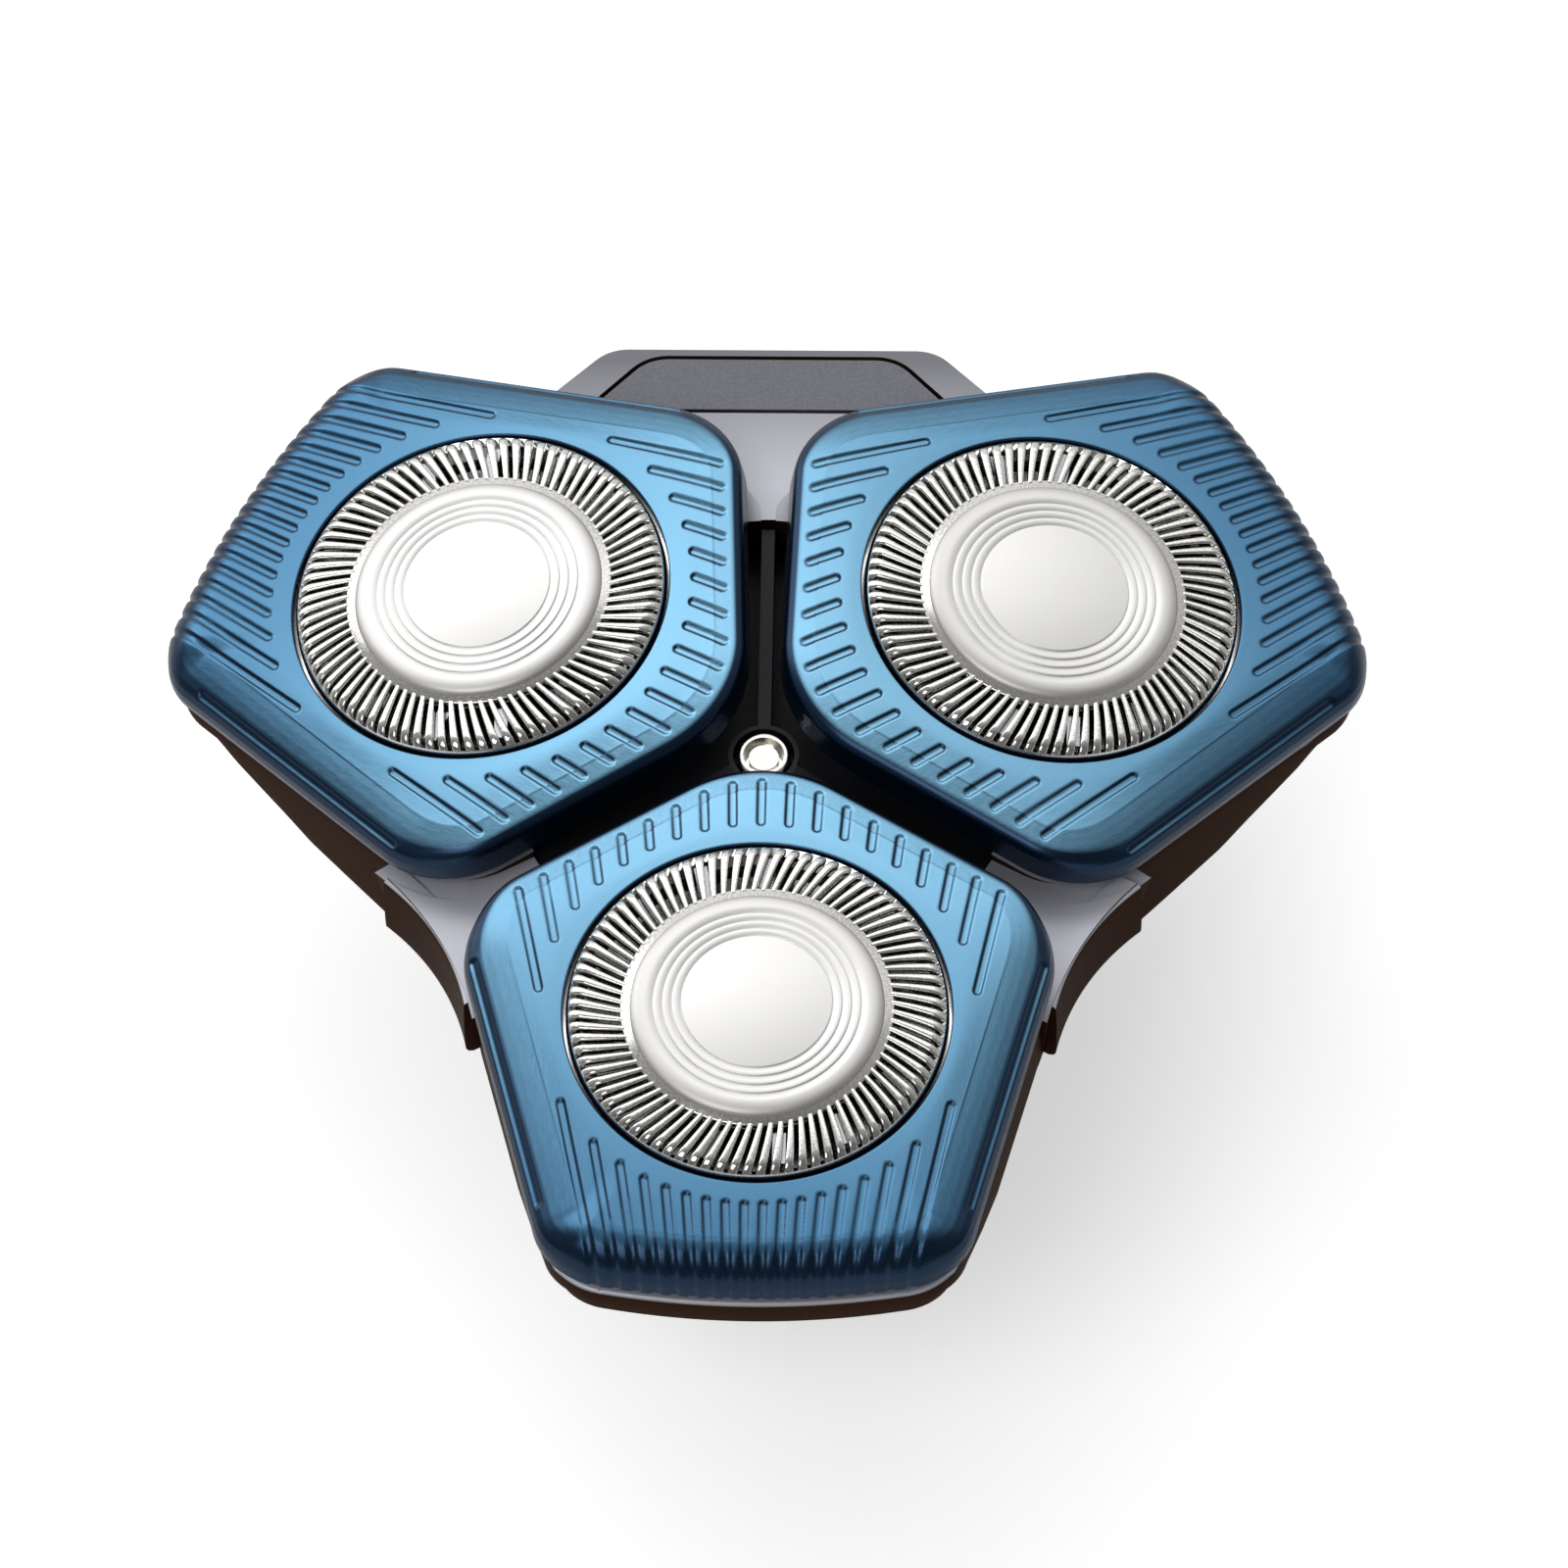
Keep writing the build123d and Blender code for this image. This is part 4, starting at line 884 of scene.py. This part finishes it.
def wall_mesh(top, out, edge_z):
    """Points and faces of an upright wall that hangs from a line down to its lower edge."""
    out = out * (1, 1, 0)
    out /= np.hypot(out[:, 0], out[:, 1])[:, None]
    fall = np.maximum(top[:, 2] - edge_z, WALL_LEAST)
    belly = [
        (WALL_BELLY * math.sin(math.pi * share), share, 0.0)
        for share in np.linspace(0, 1, WALL_STEPS)[1:-1]
    ]
    rows = [
        top + out * shift - np.outer(fall * part + extra, (0, 0, 1))
        for shift, part, extra in (*WALL_TOP, *belly, *WALL_FOOT)
    ]
    count = len(top)
    faces = []
    for row in range(len(rows)):
        after = (row + 1) % len(rows)
        for column in range(count - 1):
            faces.append(
                [
                    row * count + column,
                    after * count + column,
                    after * count + column + 1,
                    row * count + column + 1,
                ]
            )
    faces.append([row * count for row in reversed(range(len(rows)))])
    faces.append([row * count + count - 1 for row in range(len(rows))])
    return np.vstack(rows), faces


cap, disc = cap_mesh(), disc_mesh()
for head in HEADS:
    place = head_matrix(head)
    comb = comb_mesh(SWIRL_WAY[head])
    for name, (points, faces), finish, node, slot in (
        ("cap_skin", cap, blue_lacquer, "cap", "cap_blue"),
        ("comb_bars", comb, comb_steel, "comb", "comb_steel"),
        ("disc", disc, disc_steel, "trim_disc", "trim_chrome"),
    ):
        new_piece(
            f"{head}_{name}", points, faces, finish, place, f"{head}_head", f"{head}_{node}"
        )

wall_lines = []
for head in HEADS:
    top, out = under_cap(head_matrix(head))
    edge_z = np.interp(np.hypot(top[:, 0], top[:, 1]), *zip(*WALL_EDGE))
    if head == "front":
        edge_z = np.maximum(edge_z, VALLEY_EDGE)
    wall_lines.append((top, out, edge_z))
wall_lines += [(*across_valley(azimuth), VALLEY_EDGE) for azimuth in VALLEYS]
for index, line in enumerate(wall_lines):
    points, faces = wall_mesh(*line)
    new_piece(
        f"outer_wall_{index}", points, faces, silver_lacquer, Matrix(), "holder", None,
    )

# Every CAD node that stays gets the finish of its own material slot, but the button is
# a plain grey of its own.
slot_of = {entry["node"]: entry["material_slot"] for entry in frame["record"]["subparts"]}
for node_name, node in frame["nodes"].items():
    node.data.materials.clear()
    node.data.materials.append(
        button_grey if node_name == "release_button" else finishes[slot_of[node_name]]
    )


def pale_paper():
    """White paper that looks evenly lit to the camera and still takes a shadow."""
    material, tree, shader = start_material("pale_paper")
    shader.inputs["Base Color"].default_value = linear("#fbfbfb")
    shader.inputs["Roughness"].default_value = 0.9
    shader.inputs["Specular IOR Level"].default_value = 0.0
    shader.inputs["Emission Color"].default_value = linear("#ffffff")
    ray = add_node(tree, "ShaderNodeLightPath")
    glow = add_node(
        tree,
        "ShaderNodeMath",
        {"operation": "MULTIPLY"},
        {0: ray.outputs["Is Camera Ray"], 1: FLOOR_GLOW},
    )
    tree.links.new(glow.outputs["Value"], shader.inputs["Emission Strength"])
    return material


def studio_world():
    """Room light by direction: a bright box at the back left, dim room in front."""
    world = bpy.data.worlds.new("studio")
    world.use_nodes = True
    tree = world.node_tree
    direction = add_node(tree, "ShaderNodeTexCoord")
    toward = add_node(
        tree, "ShaderNodeSeparateXYZ", {}, {"Vector": direction.outputs["Generated"]}
    )
    from_back = add_node(
        tree,
        "ShaderNodeMapRange",
        {"interpolation_type": "SMOOTHSTEP"},
        {"Value": toward.outputs["Y"], "From Min": 0.28, "From Max": 0.48},
    )
    from_front = add_node(
        tree,
        "ShaderNodeMapRange",
        {"interpolation_type": "SMOOTHSTEP"},
        {
            "Value": toward.outputs["Y"],
            "From Min": 0.85,
            "From Max": 0.55,
            "To Min": 0.3,
            "To Max": 1.0,
        },
    )
    from_left = add_node(
        tree,
        "ShaderNodeMapRange",
        {"interpolation_type": "SMOOTHSTEP"},
        {"Value": toward.outputs["X"], "From Min": 0.9, "From Max": -0.3},
    )
    band = add_node(
        tree,
        "ShaderNodeMath",
        {"operation": "MULTIPLY"},
        {0: from_back.outputs["Result"], 1: from_front.outputs["Result"]},
    )
    box = add_node(
        tree,
        "ShaderNodeMath",
        {"operation": "MULTIPLY"},
        {0: band.outputs["Value"], 1: from_left.outputs["Result"]},
    )
    room = add_node(
        tree,
        "ShaderNodeMapRange",
        {},
        {
            "Value": toward.outputs["Y"],
            "From Min": -0.4,
            "From Max": 0.35,
            "To Min": 0.15,
            "To Max": 0.45,
        },
    )
    glow = add_node(
        tree,
        "ShaderNodeMath",
        {"operation": "MULTIPLY_ADD"},
        {0: box.outputs["Value"], 1: BOX_GLOW, 2: room.outputs["Result"]},
    )
    ray = add_node(tree, "ShaderNodeLightPath")
    strength = add_node(
        tree,
        "ShaderNodeMix",
        {"data_type": "FLOAT"},
        {"Factor": ray.outputs["Is Camera Ray"], "A": glow.outputs["Value"], "B": 1.0},
    )
    sky = tree.nodes["Background"]
    sky.inputs["Color"].default_value = linear("#ffffff")
    tree.links.new(strength.outputs["Result"], sky.inputs["Strength"])
    return world


def softbox(name, place, size, radiance):
    """Square white lamp that looks at the object, with its brightness as seen."""
    light = bpy.data.lights.new(name, "AREA")
    light.shape = "SQUARE"
    light.size = size
    light.energy = radiance * math.pi * size * size
    lamp = bpy.data.objects.new(name, light)
    bpy.context.scene.collection.objects.link(lamp)
    lamp.location = place
    lamp.rotation_euler = (LAMP_AIM - Vector(place)).to_track_quat("-Z", "Y").to_euler()


floor_mesh = bpy.data.meshes.new("floor")
floor_corners = ((-1, -1, 0), (1, -1, 0), (1, 1, 0), (-1, 1, 0))
floor_mesh.from_pydata((np.array(floor_corners) * FLOOR_HALF).tolist(), [], [(0, 1, 2, 3)])
floor = bpy.data.objects.new("floor", floor_mesh)
bpy.context.scene.collection.objects.link(floor)
floor.location.z = cad_box[0][2] - FLOOR_GAP
floor_mesh.materials.append(pale_paper())

bpy.context.scene.world = studio_world()
softbox("left_box", (-0.5, 0.3, 0.5), size=0.25, radiance=1.0)
softbox("front_box", (-0.25, -0.4, 0.6), size=0.35, radiance=3.2)

back = Vector(
    (
        math.sin(AZIMUTH) * math.cos(ELEVATION),
        -math.cos(AZIMUTH) * math.cos(ELEVATION),
        math.sin(ELEVATION),
    )
)
level = Vector((math.cos(AZIMUTH), math.sin(AZIMUTH), 0))
upright = back.cross(level)
right = level * math.cos(ROLL) + upright * math.sin(ROLL)
up = upright * math.cos(ROLL) - level * math.sin(ROLL)
camera = bpy.data.objects.new("camera", bpy.data.cameras.new("camera"))
bpy.context.scene.collection.objects.link(camera)
camera.data.sensor_width = SENSOR_MM
camera.data.lens = FOCAL_PIXELS / FRAME_PIXELS * SENSOR_MM
camera.data.clip_start = NEAREST_SEEN
spot = back * DISTANCE + right * AIM_RIGHT + up * AIM_UP + Vector((0, 0, AIM_Z))
turned = Matrix((right, up, back)).transposed().to_4x4()
camera.matrix_world = Matrix.Translation(spot) @ turned
bpy.context.scene.camera = camera
bpy.context.scene.view_settings.view_transform = "Standard"
